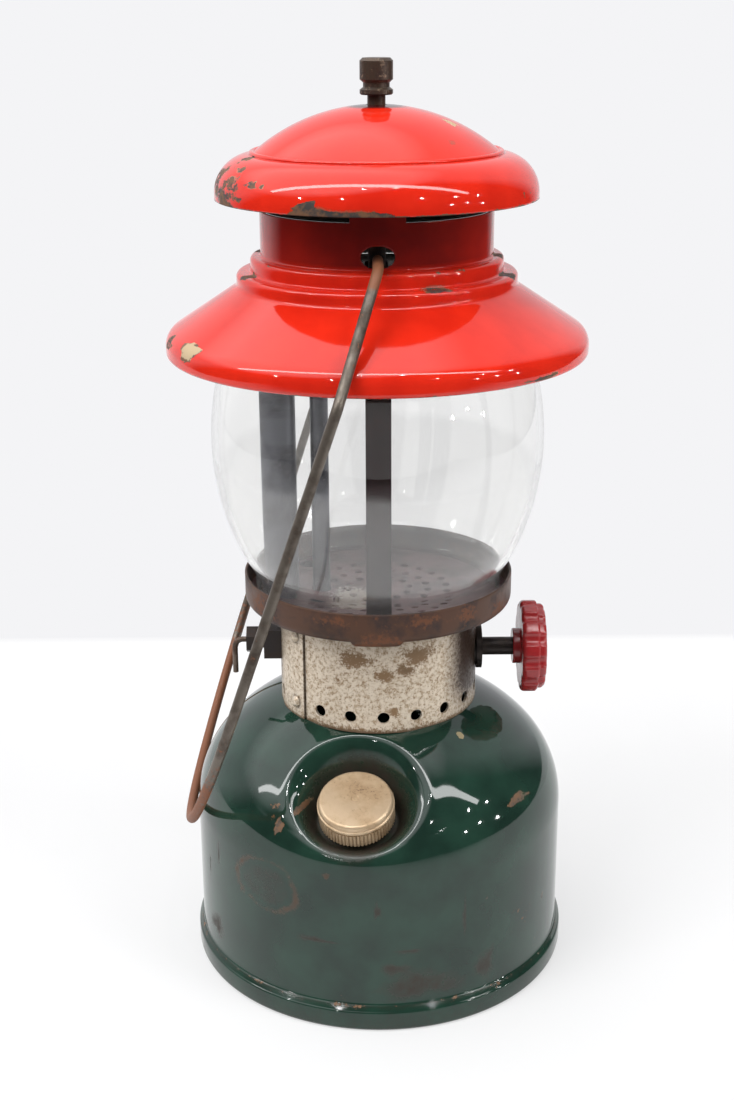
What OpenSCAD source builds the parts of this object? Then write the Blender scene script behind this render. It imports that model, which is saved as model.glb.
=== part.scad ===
// Single-mantle pressure lantern: fuel tank, burner frame, glass globe, enamelled hood and wire bail.
// Millimetres, +Z up, origin on the table under the tank's axis, filler cap towards -Y.

/* [Tank] */
// Radius of the rolled foot band the lantern stands on
foot_r = 70; // [66:0.5:76]
// Height of the foot band
foot_h = 9.5; // [7:0.5:13]
// Radius of the straight tank wall
tank_r = 68.2; // [65:0.2:69.2]
// Height where the wall turns into the shoulder
wall_h = 58.5; // [52:0.5:66]
// Radius of the shoulder's curve in section
shoulder_r = 38.6; // [34:0.2:44]
// Angle at which the shoulder hands over to the flatter crown
shoulder_a = 43; // [38:1:48]
// Radius of the crown's curve in section
crown_r = 62; // [56:0.5:68]
// Thickness of the tank's sheet steel
tank_t = 0.9; // [0.7:0.1:1.3]
// Height of the pan that closes the tank above the table
pan_z = 6; // [5:0.5:7.5]
// Width of the hem that holds the pan
hem_w = 3; // [2.4:0.2:4]

/* [Filler] */
// Turn of the filler from the front, towards -X
filler_az = 9; // [0:1:16]
// Distance of the filler's floor from the tank's axis
filler_r = 50; // [48:0.5:52]
// Depth of the floor below the dome, measured plumb
filler_depth = 19.8; // [17:0.2:22]
// Lean of the filler's axis from plumb
filler_tilt = 22; // [18:1:26]
// Radius of the pressed recess round the filler
filler_recess_r = 17.8; // [17:0.2:19]
// Lean of the filler recess's wall from its axis
filler_flare = 8; // [3:1:10]
// Radius of the filler neck's bore
filler_bore_r = 8.5; // [7.5:0.1:9.2]
// Wall of the filler neck
filler_neck_t = 1.8; // [1.4:0.1:2.2]
// Height of the neck above the recess floor
filler_neck_h = 8; // [7:0.2:9.5]
// Radius of the knurled cap
filler_cap_r = 13.5; // [12.8:0.1:14.4]
// Height of the knurled cap
filler_cap_h = 10; // [9:0.2:11]
// Wall of the cap's skirt and top
filler_cap_t = 1.5; // [1.2:0.1:1.8]
// Thickness of the rubber seal in the cap
seal_t = 2.2; // [1.6:0.1:3]

/* [Pump] */
// Sideways offset of the pump from the pickup tube
pump_x = 13; // [12.5:0.5:15]
// Distance of the pump's floor behind the axis
pump_y = 49; // [47:0.5:51]
// Depth of the pump's floor below the dome, measured plumb
pump_depth = 9; // [7:0.5:11]
// Lean of the pump's axis from plumb
pump_tilt = 42; // [39:1:45]
// Radius of the pressed recess round the pump
pump_recess_r = 16; // [15:0.2:17.5]
// Lean of the pump recess's wall from its axis
pump_flare = 3; // [1:1:6]
// Outer radius of the pump barrel
barrel_r = 8.6; // [8:0.1:9]
// Length of the pump barrel below its floor
barrel_l = 86; // [80:1:92]
// Travel of the plunger
pump_stroke = 60; // [50:1:60]
// Wall of the pump barrel
barrel_t = 0.7; // [0.5:0.1:0.9]
// Radius of the pump's end cap
pump_cap_r = 13; // [12.4:0.2:14]
// Thickness of the pump's end cap
pump_cap_t = 3; // [2.4:0.2:4]
// Radius of the hollow plunger rod
plunger_r = 3.6; // [3.2:0.1:4]
// Radius of the air stem inside the plunger
stem_r = 1.6; // [1.3:0.1:1.9]
// Radius of the pump's thumb knob
pump_knob_r = 10.5; // [9:0.5:12]
// Height of the pump's thumb knob
pump_knob_h = 11; // [9:0.5:13]

/* [Collar and gallery] */
// Radius of the riveted collar
collar_r = 35.9; // [34.5:0.1:37.5]
// Height of the collar above the dome
collar_h = 27.2; // [25:0.2:30]
// Thickness of the collar's sheet
collar_t = 0.9; // [0.7:0.1:1.2]
// Radius of the air holes round the collar's foot
air_hole_r = 1.65; // [1.2:0.05:2]
// Number of air hole places round the collar
air_holes = 18; // [14:1:22]
// Height of the air holes above the collar's foot
air_hole_z = 4.2; // [3:0.2:6]
// Turn of the lapped seam from the front, towards -X
seam_az = 52; // [46:1:58]
// Radius of the globe gallery's rim
gallery_r = 48.2; // [47.6:0.1:50]
// Height of the gallery's sloping underside
gallery_cone_h = 12.6; // [11:0.2:15]
// Height of the gallery's upright rim
gallery_rim_h = 9.2; // [7:0.2:12]
// Thickness of the gallery's sheet
gallery_t = 1; // [0.8:0.1:1.3]
// Radius of the vent holes in the gallery's floor
vent_r = 1.5; // [1:0.1:1.8]
// Radius of the lighting hole
match_hole_r = 4.5; // [3.5:0.1:4.8]

/* [Globe] */
// Height of the glass globe
globe_h = 115; // [110:0.5:122]
// Greatest radius of the globe
globe_r = 58.4; // [57:0.2:60.5]
// Outer radius of the globe's straight ends
globe_neck_r = 44.3; // [43.6:0.1:45]
// Radius of the globe's bulge in section
globe_curve_r = 92; // [86:1:100]
// Radius of the sweep from the bulge to the straight ends
globe_sweep_r = 10; // [7:0.5:12]
// Thickness of the glass
globe_t = 2.2; // [1.8:0.1:2.6]

/* [Hood] */
// Radius of the hood's brim
brim_r = 72.5; // [71:0.5:76]
// Drop of the brim's edge below the globe's top
brim_drop = 27.2; // [25:0.2:30]
// Height of the brim's turned-down edge
brim_lip_h = 4; // [3:0.2:5]
// Radius of the lower hood ring
ring_low_r = 47.8; // [47:0.1:49.5]
// Height of the lower hood ring
ring_low_h = 4.6; // [4:0.2:5.6]
// Radius of the upper hood ring
ring_high_r = 43; // [42.4:0.1:44]
// Height of the upper hood ring
ring_high_h = 5.4; // [5:0.2:6.4]
// Radius of the hood's neck
hood_neck_r = 39.5; // [38.6:0.1:40.2]
// Height of the closed part of the neck
hood_neck_h = 15.2; // [14:0.2:18]
// Height of the exhaust gaps above the neck
exhaust_h = 16.5; // [14:0.5:18]
// Thickness of the enamelled sheet
hood_t = 0.9; // [0.7:0.1:1.2]
// Width of the legs that carry the cap, in degrees
leg_angle = 26; // [20:1:34]

/* [Cap] */
// Radius of the cap
cap_r = 54.3; // [53:0.1:57]
// Radius of the rolled outer ring in section
cap_roll_r = 12.8; // [12:0.1:13.6]
// Radius of the cap's spherical crown
cap_crown_r = 63.6; // [60:0.2:68]
// Depth of the cap's straight lip
cap_lip_h = 1.6; // [1:0.2:2.4]

/* [Burner] */
// Distance of the frame's straps from the axis
strap_y = 38.5; // [37:0.1:38.8]
// Width of the frame's straps
strap_w = 8.4; // [7:0.2:10]
// Thickness of the frame's straps
strap_t = 1.6; // [1.2:0.1:2]
// Gap between the burner pipe and the nut under the strap
frame_gap = 0.6; // [0.4:0.1:1]
// Radius of the threaded stud on the frame
stud_r = 3; // [2.6:0.1:3.4]
// Distance of the air tube from the axis
air_tube_x = 35.2; // [34.5:0.1:35.4]
// Outer radius of the air tube and burner pipe
air_tube_r = 6.3; // [5.2:0.1:6.4]
// Wall of the air tube and burner pipe
air_tube_t = 0.8; // [0.6:0.1:1]
// Height of the straight air tube
air_tube_h = 88; // [80:0.5:89]
// Distance of the generator from the axis
generator_x = 20.6; // [19:0.1:22]
// Radius of the generator's tube
generator_r = 3.2; // [2.8:0.1:3.5]
// Radius of the burner's outlet
burner_r = 10.4; // [9.4:0.1:12]
// Height of the burner's outlet
burner_h = 10; // [8:0.5:11]

/* [Control valve] */
// Height of the valve's axis above the collar's foot
valve_h = 17.6; // [16:0.2:18.6]
// Radius of the valve's stem
valve_stem_r = 3.3; // [2.8:0.1:3.6]
// Radius of the valve body's bar
valve_body_r = 5.6; // [5.2:0.1:6]
// Radius of the packing flange at the collar
packing_r = 8; // [7:0.2:8.6]
// Reach of the packing flange past the collar
packing_out = 2; // [1.4:0.2:3]
// Bare stem between the flange and the knob's hub
stem_out = 11.4; // [9:0.2:14]
// Radius of the knob's hub
hub_r = 6.5; // [5.5:0.1:7.5]
// Length of the knob's hub
hub_l = 2.7; // [2:0.1:4]
// Radius of the knob
knob_r = 16.8; // [15:0.2:19]
// Thickness of the knob
knob_t = 8.8; // [7:0.2:10]
// Number of scallops round the knob
scallops = 12; // [8:1:16]

/* [Cleaning lever] */
// Height of the lever's axis above the collar's foot
lever_h = 20.8; // [20.2:0.1:21.2]
// Width and height of the eccentric block
block_w = 11; // [10:0.2:11.6]
// Reach of the block past the collar
block_out = 6; // [4:0.2:8]
// Radius of the lever's shaft
lever_shaft_r = 1.9; // [1.6:0.1:2.2]
// Radius of the lever's bent wire
lever_wire_r = 1; // [0.8:0.05:1.2]
// Length of the lever's bent end
lever_drop = 13; // [10:0.5:15]
// Offset of the crank pin that lifts the needle
crank_offset = 1.5; // [1.2:0.1:1.6]
// Radius of the cleaning needle
needle_r = 0.6; // [0.4:0.05:0.8]

/* [Ball nut] */
// Radius of the ball nut
nut_r = 5.5; // [5:0.1:6.5]
// Height of the ball nut
nut_h = 11.6; // [10:0.2:13]
// Bare thread between the cap and the nut
nut_gap = 3; // [1:0.2:4]

/* [Bail] */
// Radius of the bail's wire
wire_r = 1.75; // [1.5:0.05:2]
// Reach of the bail from its pivot to its arch
bail_reach = 218; // [217:1:240]
// How far the wire stands out past the brim
bail_out = 7.5; // [7:0.5:13]
// How far below its pivot the wire turns down
bail_bend = 39; // [35:0.5:39.5]
// How far the hooks reach out past the low ring
hook_out = 5.2; // [4.8:0.1:6]
// Radius of the bends in the wire
bail_bend_r = 7; // [5:0.5:9]
// Radius of the holes in the neck that take the bail
bail_hole_r = 5.5; // [4.5:0.1:6]

/* [Fits] */
// Radial clearance of a turning or sliding shaft
run_gap = 0.08; // [0.05:0.01:0.1]
// Clearance between pieces of different bodies
free_gap = 0.35; // [0.3:0.05:0.5]

/* [Hidden] */
$fn = 64;

// Sections of the tank: centres of the shoulder and crown arcs, and the dome's height at a radius
shoulder_c = [tank_r - shoulder_r, wall_h];
crown_c = shoulder_c - (crown_r - shoulder_r) * [cos(shoulder_a), sin(shoulder_a)];
function dome_z(r) =
    r > shoulder_c.x + shoulder_r * cos(shoulder_a)
        ? shoulder_c.y + sqrt(pow(shoulder_r, 2) - pow(r - shoulder_c.x, 2))
    : r > crown_c.x ? crown_c.y + sqrt(pow(crown_r, 2) - pow(r - crown_c.x, 2))
    : crown_c.y + crown_r;
dome_top = dome_z(0);

// Levels that stack up from the dome
collar_z = dome_z(collar_r);
valve_z = collar_z + valve_h;
lever_z = collar_z + lever_h;
gallery_z = collar_z + collar_h;
floor_z = gallery_z + gallery_cone_h;
floor_t = gallery_t;
globe_z = floor_z + floor_t;
rim_z = floor_z + gallery_rim_h;
tube_top = globe_z + air_tube_h;
pipe_r = air_tube_x / 2;
pipe_out_r = pipe_r + air_tube_r;
stud_nut_w = 9;
stud_nut_t = 2.4;
pipe_by_nut = sqrt(pow(pipe_out_r, 2) - pow(pipe_r - stud_nut_w / sqrt(3), 2));
frame_top = tube_top + pipe_by_nut + frame_gap + stud_nut_t + strap_t;
frame_below = 1.5;
globe_tall = max(globe_h, frame_top + frame_below - globe_z);
globe_top = globe_z + globe_tall;
ledge_z = globe_top;
brim_z = globe_top - brim_drop;
ring_high_z = ledge_z + hood_t + ring_high_h;
neck_top = ring_high_z + hood_neck_h;
cap_lip_z = neck_top + exhaust_h - cap_roll_r;
cap_roll_c = [cap_r - cap_roll_r, cap_lip_z + cap_lip_h];
cap_crown_z = cap_roll_c.y + cap_roll_r - sqrt(pow(cap_crown_r, 2) - pow(cap_roll_c.x, 2));
cap_top = cap_crown_z + cap_crown_r;
nut_z = cap_top + nut_gap;

// Places round the tank
filler_z = dome_z(filler_r) - filler_depth;
pump_z = dome_z(norm([pump_x, pump_y])) - pump_depth;
seal_z = filler_neck_h + free_gap;
cap_inner_z = seal_z + seal_t + free_gap;
filler_cap_z = cap_inner_z + filler_cap_t - filler_cap_h;
neck_out_r = filler_bore_r + filler_neck_t;

// Pump stations measured along its axis from the recess floor
flange_t = 1;
cap_seat = flange_t;
cap_face = cap_seat + pump_cap_t;
knob_rest = 1.2;
knob_seat = cap_face + knob_rest;
valve_seat_l = 5;
leather_h = 5;
leather_rest = 4;
leather_z = -barrel_l + valve_seat_l + leather_rest;
stem_grip = 7;
pump_screw_r = 1.1;
pump_screw_pitch_r = pump_cap_r - 2.6;
pump_screw_tail = 3;

// Places along the valve and the lever
flange_x = collar_r + packing_out;
hub_x = flange_x + stem_out;
knob_x = hub_x + hub_l;
packing_in = 6;
bar_out = collar_r - packing_in;
stem_room = 12;
jet_bore_r = 1.5;
knob_dish = 1.2;
knob_bolt_r = 1.4;
bar_end = generator_x - 4;
block_end = collar_r + block_out;
gland_r = 4.4;
gland_l = 6.5;
lever_out = 4.5;
lever_bend_x = block_end + gland_l + lever_out;
burner_z = tube_top - burner_h - 3;
generator_top = tube_top + sqrt(pow(pipe_r, 2) - pow(generator_x - pipe_r, 2)) - air_tube_r;
block_top = lever_z + block_w / 2;
generator_seat = 1.8;
foot_l = 9;
rivet_r = 1.5;
rivet_head = 0.8;
crank_r = 0.8;
needle_lift = 2 * crank_offset;
crank_room = crank_offset + crank_r + 2 * free_gap;
needle_bore_r = 1.6;
room_wall = 2;
shaft_in = generator_x + needle_bore_r;
shaft_out = block_end + gland_l;
lever_bend_r = 3;

// Clearance where a fixed piece passes through another without touching
pass_gap = 0.4;

// Fuel way: the boss in the crown and the tube inside it
bush_r = 8;
bush_flange_w = 3;
bush_rise = 2.4;
pickup_r = 3.2;
pickup_t = 0.7;

// Collar: lap of the seam and pitch of the holes; turn of the lighting hole
lap_a = 16;
lap_t = 0.5;
hole_pitch = 360 / air_holes;
match_az = 135;

// Hood: soft edge of its rings, bend and slope where the brim turns down; crease in the cap
ring_soft = 1;
brim_bend_r = 6;
brim_slope = 55;
crease_w = 0.6;

// Gallery: bend below its rim, and the rows of vent holes in its floor
gallery_turn_r = 5;
vent_rows = 3;
vent_pitch = 7;

// Roof of the ball nut, and how far the stud reaches up into it
nut_roof = 2;
stud_top = nut_z + nut_h - nut_roof - nut_gap;

// Bail: pivot height, and how far it leans out to rest against the tank's wall
hook_rise = 1;
hook_gap = 0.75;
hook_in = 6;
pivot_z = ring_high_z + wire_r + hook_rise;
bail_hole_z = pivot_z + bail_hole_r - wire_r - hook_gap;
bail_half_w = brim_r + bail_out;
bail_hook_y = ring_low_r + hook_out;
hook_swell = 0.1;
bail_lean = asin((tank_r + wire_r + free_gap) / bail_reach);

// Points along an arc from one angle to another
function arc(c, r, a0, a1, n = 10) =
    [for (i = [0:n]) c + r * [cos(a0 + (a1 - a0) * i / n), sin(a0 + (a1 - a0) * i / n)]];
function flip(points) = [for (i = [len(points) - 1:-1:0]) points[i]];

// A sheet pressed to a section: its outer face and its inner face, spun round the axis
module spun_sheet(outer, inner) {
    rotate_extrude() polygon(concat(outer, flip(inner)));
}

// Axes that lie along +X or -X
module along_x(x, z) {
    translate([x, 0, z]) rotate([0, 90, 0]) children();
}
module along_minus_x(x, z) {
    translate([-x, 0, z]) rotate([0, -90, 0]) children();
}
module ring(r, bore, h) {
    difference() {
        cylinder(r = r, h = h);
        translate([0, 0, -1]) cylinder(r = bore, h = h + 2);
    }
}
module hexagon(across, h) {
    cylinder(r = across / sqrt(3), h = h, $fn = 6);
}

// A round wire bent in one plane: the route with rounded corners, then one tube swept along it
function unit(v) = v / norm(v);
function left_of(v) = [-v.y, v.x];
function turn(a, b, c) =
    let (u = unit(b - a), v = unit(c - b)) atan2(u.x * v.y - u.y * v.x, u * v);
function corner(a, b, c, bend, n) =
    let (swing = turn(a, b, c), side = sign(swing), run = unit(b - a),
         centre = b - run * bend * tan(abs(swing) / 2) + side * bend * left_of(run),
         start = atan2(run.y, run.x) - side * 90)
    arc(centre, bend, start, start + swing, n);
function bent_route(points, bend, n = 6) = concat(
    [points[0]],
    [for (i = [1:1:len(points) - 2]) each corner(points[i - 1], points[i], points[i + 1], bend, n)],
    [points[len(points) - 1]]);
module swept_wire(route, r, sides = 12) {
    last = len(route) - 1;
    runs = [for (i = [0:last - 1]) unit(route[i + 1] - route[i])];
    rings = [for (i = [0:last])
        let (before = runs[max(i - 1, 0)], after = runs[min(i, last - 1)],
             across = left_of(unit(before + after)), widen = 1 / (across * left_of(after)))
        for (j = [0:sides - 1])
            let (a = 360 * j / sides, spot = route[i] + r * widen * cos(a) * across)
            [spot.x, spot.y, r * sin(a)]];
    walls = [for (i = [0:last - 1], j = [0:sides - 1])
        let (a = i * sides + j, b = i * sides + (j + 1) % sides)
        each [[a, b + sides, b], [a, a + sides, b + sides]]];
    ends = [[for (j = [0:sides - 1]) j], [for (j = [sides - 1:-1:0]) last * sides + j]];
    polyhedron(points = rings, faces = concat(walls, ends));
}

// Frames of the two slanted fittings: +Z runs out of the tank along the fitting's axis
module at_filler() {
    rotate([0, 0, -filler_az]) translate([0, -filler_r, filler_z]) rotate([filler_tilt, 0, 0]) children();
}
module at_pump() {
    translate([pump_x, pump_y, pump_z]) rotate([-pump_tilt, 0, 0]) children();
}

// Tank: drawn shell, hemmed over the bottom pan, with two pressed recesses
module tank_solid(inset, low) {
    shoulder = arc(shoulder_c, shoulder_r - inset, 0, shoulder_a, 12);
    crown = arc(crown_c, crown_r - inset, shoulder_a, 90, 12);
    band = tank_r - inset;
    foot = foot_r - inset;
    rotate_extrude() polygon(concat([[0, low], [foot, low], [foot, foot_h - 2], [band, foot_h]],
                                    shoulder, crown, [[0, dome_top - inset]]));
}
module recess(r, flare, grow) {
    fillet = 4;
    mouth = 40;
    floor_arc = arc([r - fillet, fillet - grow], fillet, -90, 0, 6);
    rotate_extrude() polygon(concat([[0, -grow]], [for (p = floor_arc) p + [grow, 0]],
                                    [[r + grow + (mouth - fillet) * tan(flare), mouth], [0, mouth]]));
}
module recesses(grow) {
    at_filler() recess(filler_recess_r, filler_flare, grow);
    at_pump() recess(pump_recess_r, pump_flare, grow);
}
module fount_shell() {
    color("#1f4a3a") difference() {
        tank_solid(0, 0);
        recesses(0);
        difference() {
            tank_solid(tank_t, tank_t);
            recesses(tank_t);
        }
        translate([0, 0, -1]) cylinder(r = foot_r - hem_w, h = 3);
        translate([0, 0, dome_top - 5]) cylinder(r = bush_r, h = 10);
        at_filler() translate([0, 0, -5]) cylinder(r = neck_out_r, h = 10);
        at_pump() translate([0, 0, -5]) cylinder(r = barrel_r, h = 10);
        at_pump() pump_screw_places() translate([0, 0, -5]) cylinder(r = pump_screw_r, h = 10);
    }
}
module fount_bottom() {
    edge = foot_r - tank_t - 0.1;
    bead = edge - 14;
    bead_r = 3;
    color("#2a4a3c") rotate_extrude() difference() {
        union() {
            polygon([[0, pan_z], [edge - tank_t, pan_z], [edge - tank_t, tank_t], [edge, tank_t],
                     [edge, pan_z + tank_t], [0, pan_z + tank_t]]);
            translate([bead, pan_z + tank_t - bead_r]) circle(r = bead_r + tank_t);
        }
        translate([bead, pan_z + tank_t - bead_r]) circle(r = bead_r);
        translate([bead - 2 * bead_r, -2 * bead_r]) square([4 * bead_r, 2 * bead_r + pan_z]);
    }
}

// Threaded boss in the crown, and the tube that draws fuel from the pan
module fount_bush() {
    skirt = 4;
    color("#b08d4a") translate([0, 0, dome_top - skirt]) difference() {
        union() {
            cylinder(r = bush_r, h = skirt + bush_rise);
            translate([0, 0, skirt]) cylinder(r = bush_r + bush_flange_w, h = bush_rise);
        }
        translate([0, 0, -1]) cylinder(r = pickup_r, h = skirt + bush_rise + 2);
    }
}
module pickup_tube() {
    foot_gap = 2;
    low = pan_z + tank_t + foot_gap;
    slot = 1.2;
    color("#b08d4a") translate([0, 0, low]) difference() {
        cylinder(r = pickup_r, h = dome_top - low);
        translate([0, 0, -1]) cylinder(r = pickup_r - pickup_t, h = dome_top - low + 2);
        translate([-pickup_r - 1, -slot / 2, -1]) cube([2 * pickup_r + 2, slot, 4]);
    }
}

// Filler: neck soldered in the recess, screw cap and its seal
module filler_neck() {
    tail = 5;
    color("#a8966a") at_filler() translate([0, 0, -tail])
        ring(neck_out_r, filler_bore_r, tail + filler_neck_h);
}
module filler_cap() {
    rim = 1;
    color("#b9ac93") at_filler() translate([0, 0, filler_cap_z]) rotate_extrude() polygon(concat(
        [[neck_out_r + free_gap, 0], [filler_cap_r, 0]],
        arc([filler_cap_r - rim, filler_cap_h - rim], rim, 0, 90, 5),
        [[0, filler_cap_h], [0, filler_cap_h - filler_cap_t],
         [neck_out_r + free_gap, filler_cap_h - filler_cap_t]]));
}
module filler_seal() {
    color("#2b2725") at_filler() translate([0, 0, seal_z]) ring(neck_out_r, filler_bore_r - 2, seal_t);
}

// Pump: barrel soldered in the rear recess, check valve at its foot, end cap held by three screws
module pump_screw_places() {
    for (a = [90:120:330]) rotate([0, 0, a]) translate([pump_screw_pitch_r, 0, 0]) children();
}
module pump_barrel() {
    color("#b08d4a") at_pump() difference() {
        union() {
            translate([0, 0, -barrel_l]) cylinder(r = barrel_r, h = barrel_l);
            cylinder(r = pump_cap_r - 1, h = flange_t);
        }
        translate([0, 0, -barrel_l - 1]) cylinder(r = barrel_r - barrel_t, h = barrel_l + flange_t + 2);
        pump_screw_places() translate([0, 0, -1]) cylinder(r = pump_screw_r, h = flange_t + 2);
    }
}
module check_valve() {
    color("#b08d4a") at_pump() translate([0, 0, -barrel_l]) difference() {
        union() {
            cylinder(r = barrel_r - barrel_t, h = valve_seat_l);
            translate([0, 0, -3]) cylinder(r = 3, h = 4);
        }
        translate([0, 0, 1]) cylinder(r = stem_r + run_gap, h = valve_seat_l);
        translate([0, 0, -4]) cylinder(r = 0.8, h = 6);
    }
}
module pump_cap() {
    step = 1.4;
    edge = 1;
    color("#a9a59a") at_pump() difference() {
        translate([0, 0, cap_seat]) union() {
            cylinder(r = pump_cap_r, h = pump_cap_t - step);
            cylinder(r = pump_cap_r - edge, h = pump_cap_t);
        }
        cylinder(r = plunger_r + run_gap, h = cap_face + 1);
        pump_screw_places() cylinder(r = pump_screw_r, h = cap_face + 1);
    }
}
module pump_cap_screws() {
    head_h = 0.8;
    head_r = 1.5;
    slot = 0.5;
    color("#8d8a82") at_pump() pump_screw_places() difference() {
        union() {
            translate([0, 0, -pump_screw_tail]) cylinder(r = pump_screw_r, h = cap_face + pump_screw_tail);
            translate([0, 0, cap_face]) cylinder(r = head_r, h = head_h);
        }
        translate([-head_r - 1, -slot / 2, cap_face + head_h / 2]) cube([2 * head_r + 2, slot, head_h]);
    }
}
module air_stem() {
    tail = 3;
    low = -barrel_l + valve_seat_l - tail;
    color("#c2a35c") at_pump() translate([0, 0, low])
        cylinder(r = stem_r, h = leather_z + pump_stroke + stem_grip - low);
}
module pump_rod() {
    color("#a9a59a") at_pump() translate([0, 0, leather_z])
        ring(plunger_r, stem_r + run_gap, knob_seat - leather_z);
}
module pump_knob() {
    waist = pump_knob_r * 0.72;
    crown = 3;
    thumb = pump_knob_r * 0.5;
    color("#a9a59a") at_pump() translate([0, 0, knob_seat]) rotate_extrude() polygon(concat(
        [[0, 0], [waist, 0], [waist, pump_knob_h * 0.3]],
        arc([pump_knob_r - crown / 2, pump_knob_h - crown], crown / 2, -60, 60, 6),
        [[thumb, pump_knob_h - crown / 2]], arc([0, pump_knob_h + 2], thumb * 1.1, -30, -90, 5)));
}
module pump_leather() {
    wall = 1;
    color("#6b4a2e") at_pump() translate([0, 0, leather_z]) difference() {
        cylinder(r = barrel_r - barrel_t - run_gap, h = leather_h);
        translate([0, 0, -1]) cylinder(r = plunger_r, h = leather_h + 2);
        translate([0, 0, -1]) cylinder(r = barrel_r - barrel_t - run_gap - wall, h = leather_h - wall + 1);
    }
}
module leather_washer() {
    color("#b08d4a") at_pump() translate([0, 0, leather_z + leather_h])
        ring(barrel_r - barrel_t - 1, plunger_r, 1);
}

// Collar: strip rolled round with a riveted lap, pierced with air holes at its foot
module lap_place(turn, z) {
    rotate([0, 0, -seam_az - lap_a / 2 - turn]) translate([0, -collar_r - 2, collar_z + z])
        rotate([-90, 0, 0]) children();
}
module collar() {
    foot = 2;
    color("#b3a78f") difference() {
        union() {
            translate([0, 0, collar_z - foot]) ring(collar_r, collar_r - collar_t, collar_h + foot);
            translate([0, 0, collar_z]) rotate([0, 0, -90 - seam_az - lap_a]) rotate_extrude(angle = lap_a)
                translate([collar_r - lap_t, lap_t]) square([2 * lap_t, collar_h - 2 * lap_t]);
        }
        tank_solid(0, 0);
        for (i = [0:air_holes - 1]) lap_place(i * hole_pitch, air_hole_z)
            cylinder(r = i == 0 ? rivet_r / 2 : air_hole_r, h = 5);
        lap_place(0, collar_h - air_hole_z) cylinder(r = rivet_r / 2, h = 5);
        along_x(bar_out, valve_z) cylinder(r = packing_r + pass_gap, h = packing_in + packing_out);
        translate([-block_end, -block_w / 2 - pass_gap, lever_z - block_w / 2 - pass_gap])
            cube([2 * block_out, block_w + 2 * pass_gap, block_w + 2 * pass_gap]);
    }
}
module collar_rivets() {
    face = 2 - lap_t;
    color("#9c9484") for (z = [air_hole_z, collar_h - air_hole_z]) lap_place(0, z) {
        translate([0, 0, face - rivet_head]) cylinder(r = rivet_r, h = rivet_head);
        translate([0, 0, face]) cylinder(r = rivet_r / 2, h = 3);
    }
}

// Gallery: pressed bowl that carries the globe, and its perforated floor
module match_place() {
    edge = 0.6;
    rotate([0, 0, match_az]) translate([globe_neck_r - globe_t - match_hole_r - edge, 0, 0]) children();
}
module gallery_bowl() {
    turn = arc([gallery_r - gallery_turn_r, floor_z], gallery_turn_r, -45, 0, 6);
    outer = concat([[collar_r, gallery_z]], turn, [[gallery_r, rim_z]]);
    inner = [for (p = outer) p - [gallery_t, 0]];
    color("#4a3a30") difference() {
        spun_sheet(outer, inner);
        match_place() translate([0, 0, gallery_z - 5]) cylinder(r = match_hole_r, h = 20);
    }
}
module strap_feet() {
    from_tip = 3;
    for (side = [-1, 1]) translate([0, side * (strap_y - foot_l + from_tip), 0]) children();
}
module vent_places() {
    first_row = 0.6;
    row_turn = 7;
    web = 2;
    for (row = [1:vent_rows], i = [1:6 * row + 6])
        let (a = 60 * i / (row + 1) + row_turn * row, r = vent_pitch * (row + first_row),
             spot = [r * cos(a), r * sin(a)])
        if (norm(spot + [generator_x, 0]) > generator_r + vent_r + web) translate(spot) children();
}
module gallery_floor() {
    color("#3f3029") difference() {
        translate([0, 0, floor_z]) cylinder(r = gallery_r - gallery_t, h = floor_t);
        translate([0, 0, floor_z - 1]) {
            vent_places() cylinder(r = vent_r, h = floor_t + 2, $fn = 24);
            match_place() cylinder(r = match_hole_r, h = floor_t + 2);
            translate([-generator_x, 0, 0]) cylinder(r = generator_r + pass_gap, h = floor_t + 2);
            translate([-air_tube_x, 0, 0]) cylinder(r = air_tube_r - air_tube_t, h = floor_t + 2);
            strap_feet() cylinder(r = rivet_r / 2, h = floor_t + 2);
        }
    }
}

// Valve: body between the tank and the burner, packing nut, stem and scalloped knob
module valve_body() {
    foot = dome_top + bush_rise;
    flange = 3;
    wall = 1.5;
    color("#a98a4f") difference() {
        union() {
            along_x(-bar_end, valve_z) cylinder(r = valve_body_r, h = bar_end + bar_out);
            translate([0, 0, foot]) cylinder(r = bush_r - 1, h = flange);
            translate([0, 0, foot]) cylinder(r = pickup_r + wall, h = valve_z - foot);
        }
        along_x(bar_out - stem_room, valve_z) cylinder(r = valve_stem_r + run_gap, h = stem_room + 1);
        translate([0, 0, foot - 1]) cylinder(r = pickup_r - pickup_t, h = valve_z - foot + 1);
        along_x(-bar_end - 1, valve_z) cylinder(r = jet_bore_r, h = bar_end + bar_out);
    }
}
module packing_nut() {
    color("#262422") difference() {
        union() {
            along_x(bar_out, valve_z) cylinder(r = packing_r - 1, h = packing_in);
            along_x(collar_r, valve_z) cylinder(r = packing_r, h = packing_out);
        }
        along_x(bar_out - 1, valve_z) cylinder(r = valve_stem_r + run_gap, h = packing_in + packing_out + 2);
    }
}
module valve_stem() {
    tip = 3;
    seat = bar_out - stem_room + free_gap;
    color("#2a2826") {
        along_x(seat + tip, valve_z) cylinder(r = valve_stem_r, h = knob_x - seat - tip);
        along_x(seat, valve_z) cylinder(r1 = 0.8, r2 = valve_stem_r, h = tip);
    }
}
module scalloped(r, h) {
    bite = r * 0.17;
    linear_extrude(height = h) difference() {
        circle(r = r);
        for (i = [0:scallops - 1]) rotate(360 * i / scallops)
            translate([r + bite * 0.55, 0]) circle(r = bite);
    }
}
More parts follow.
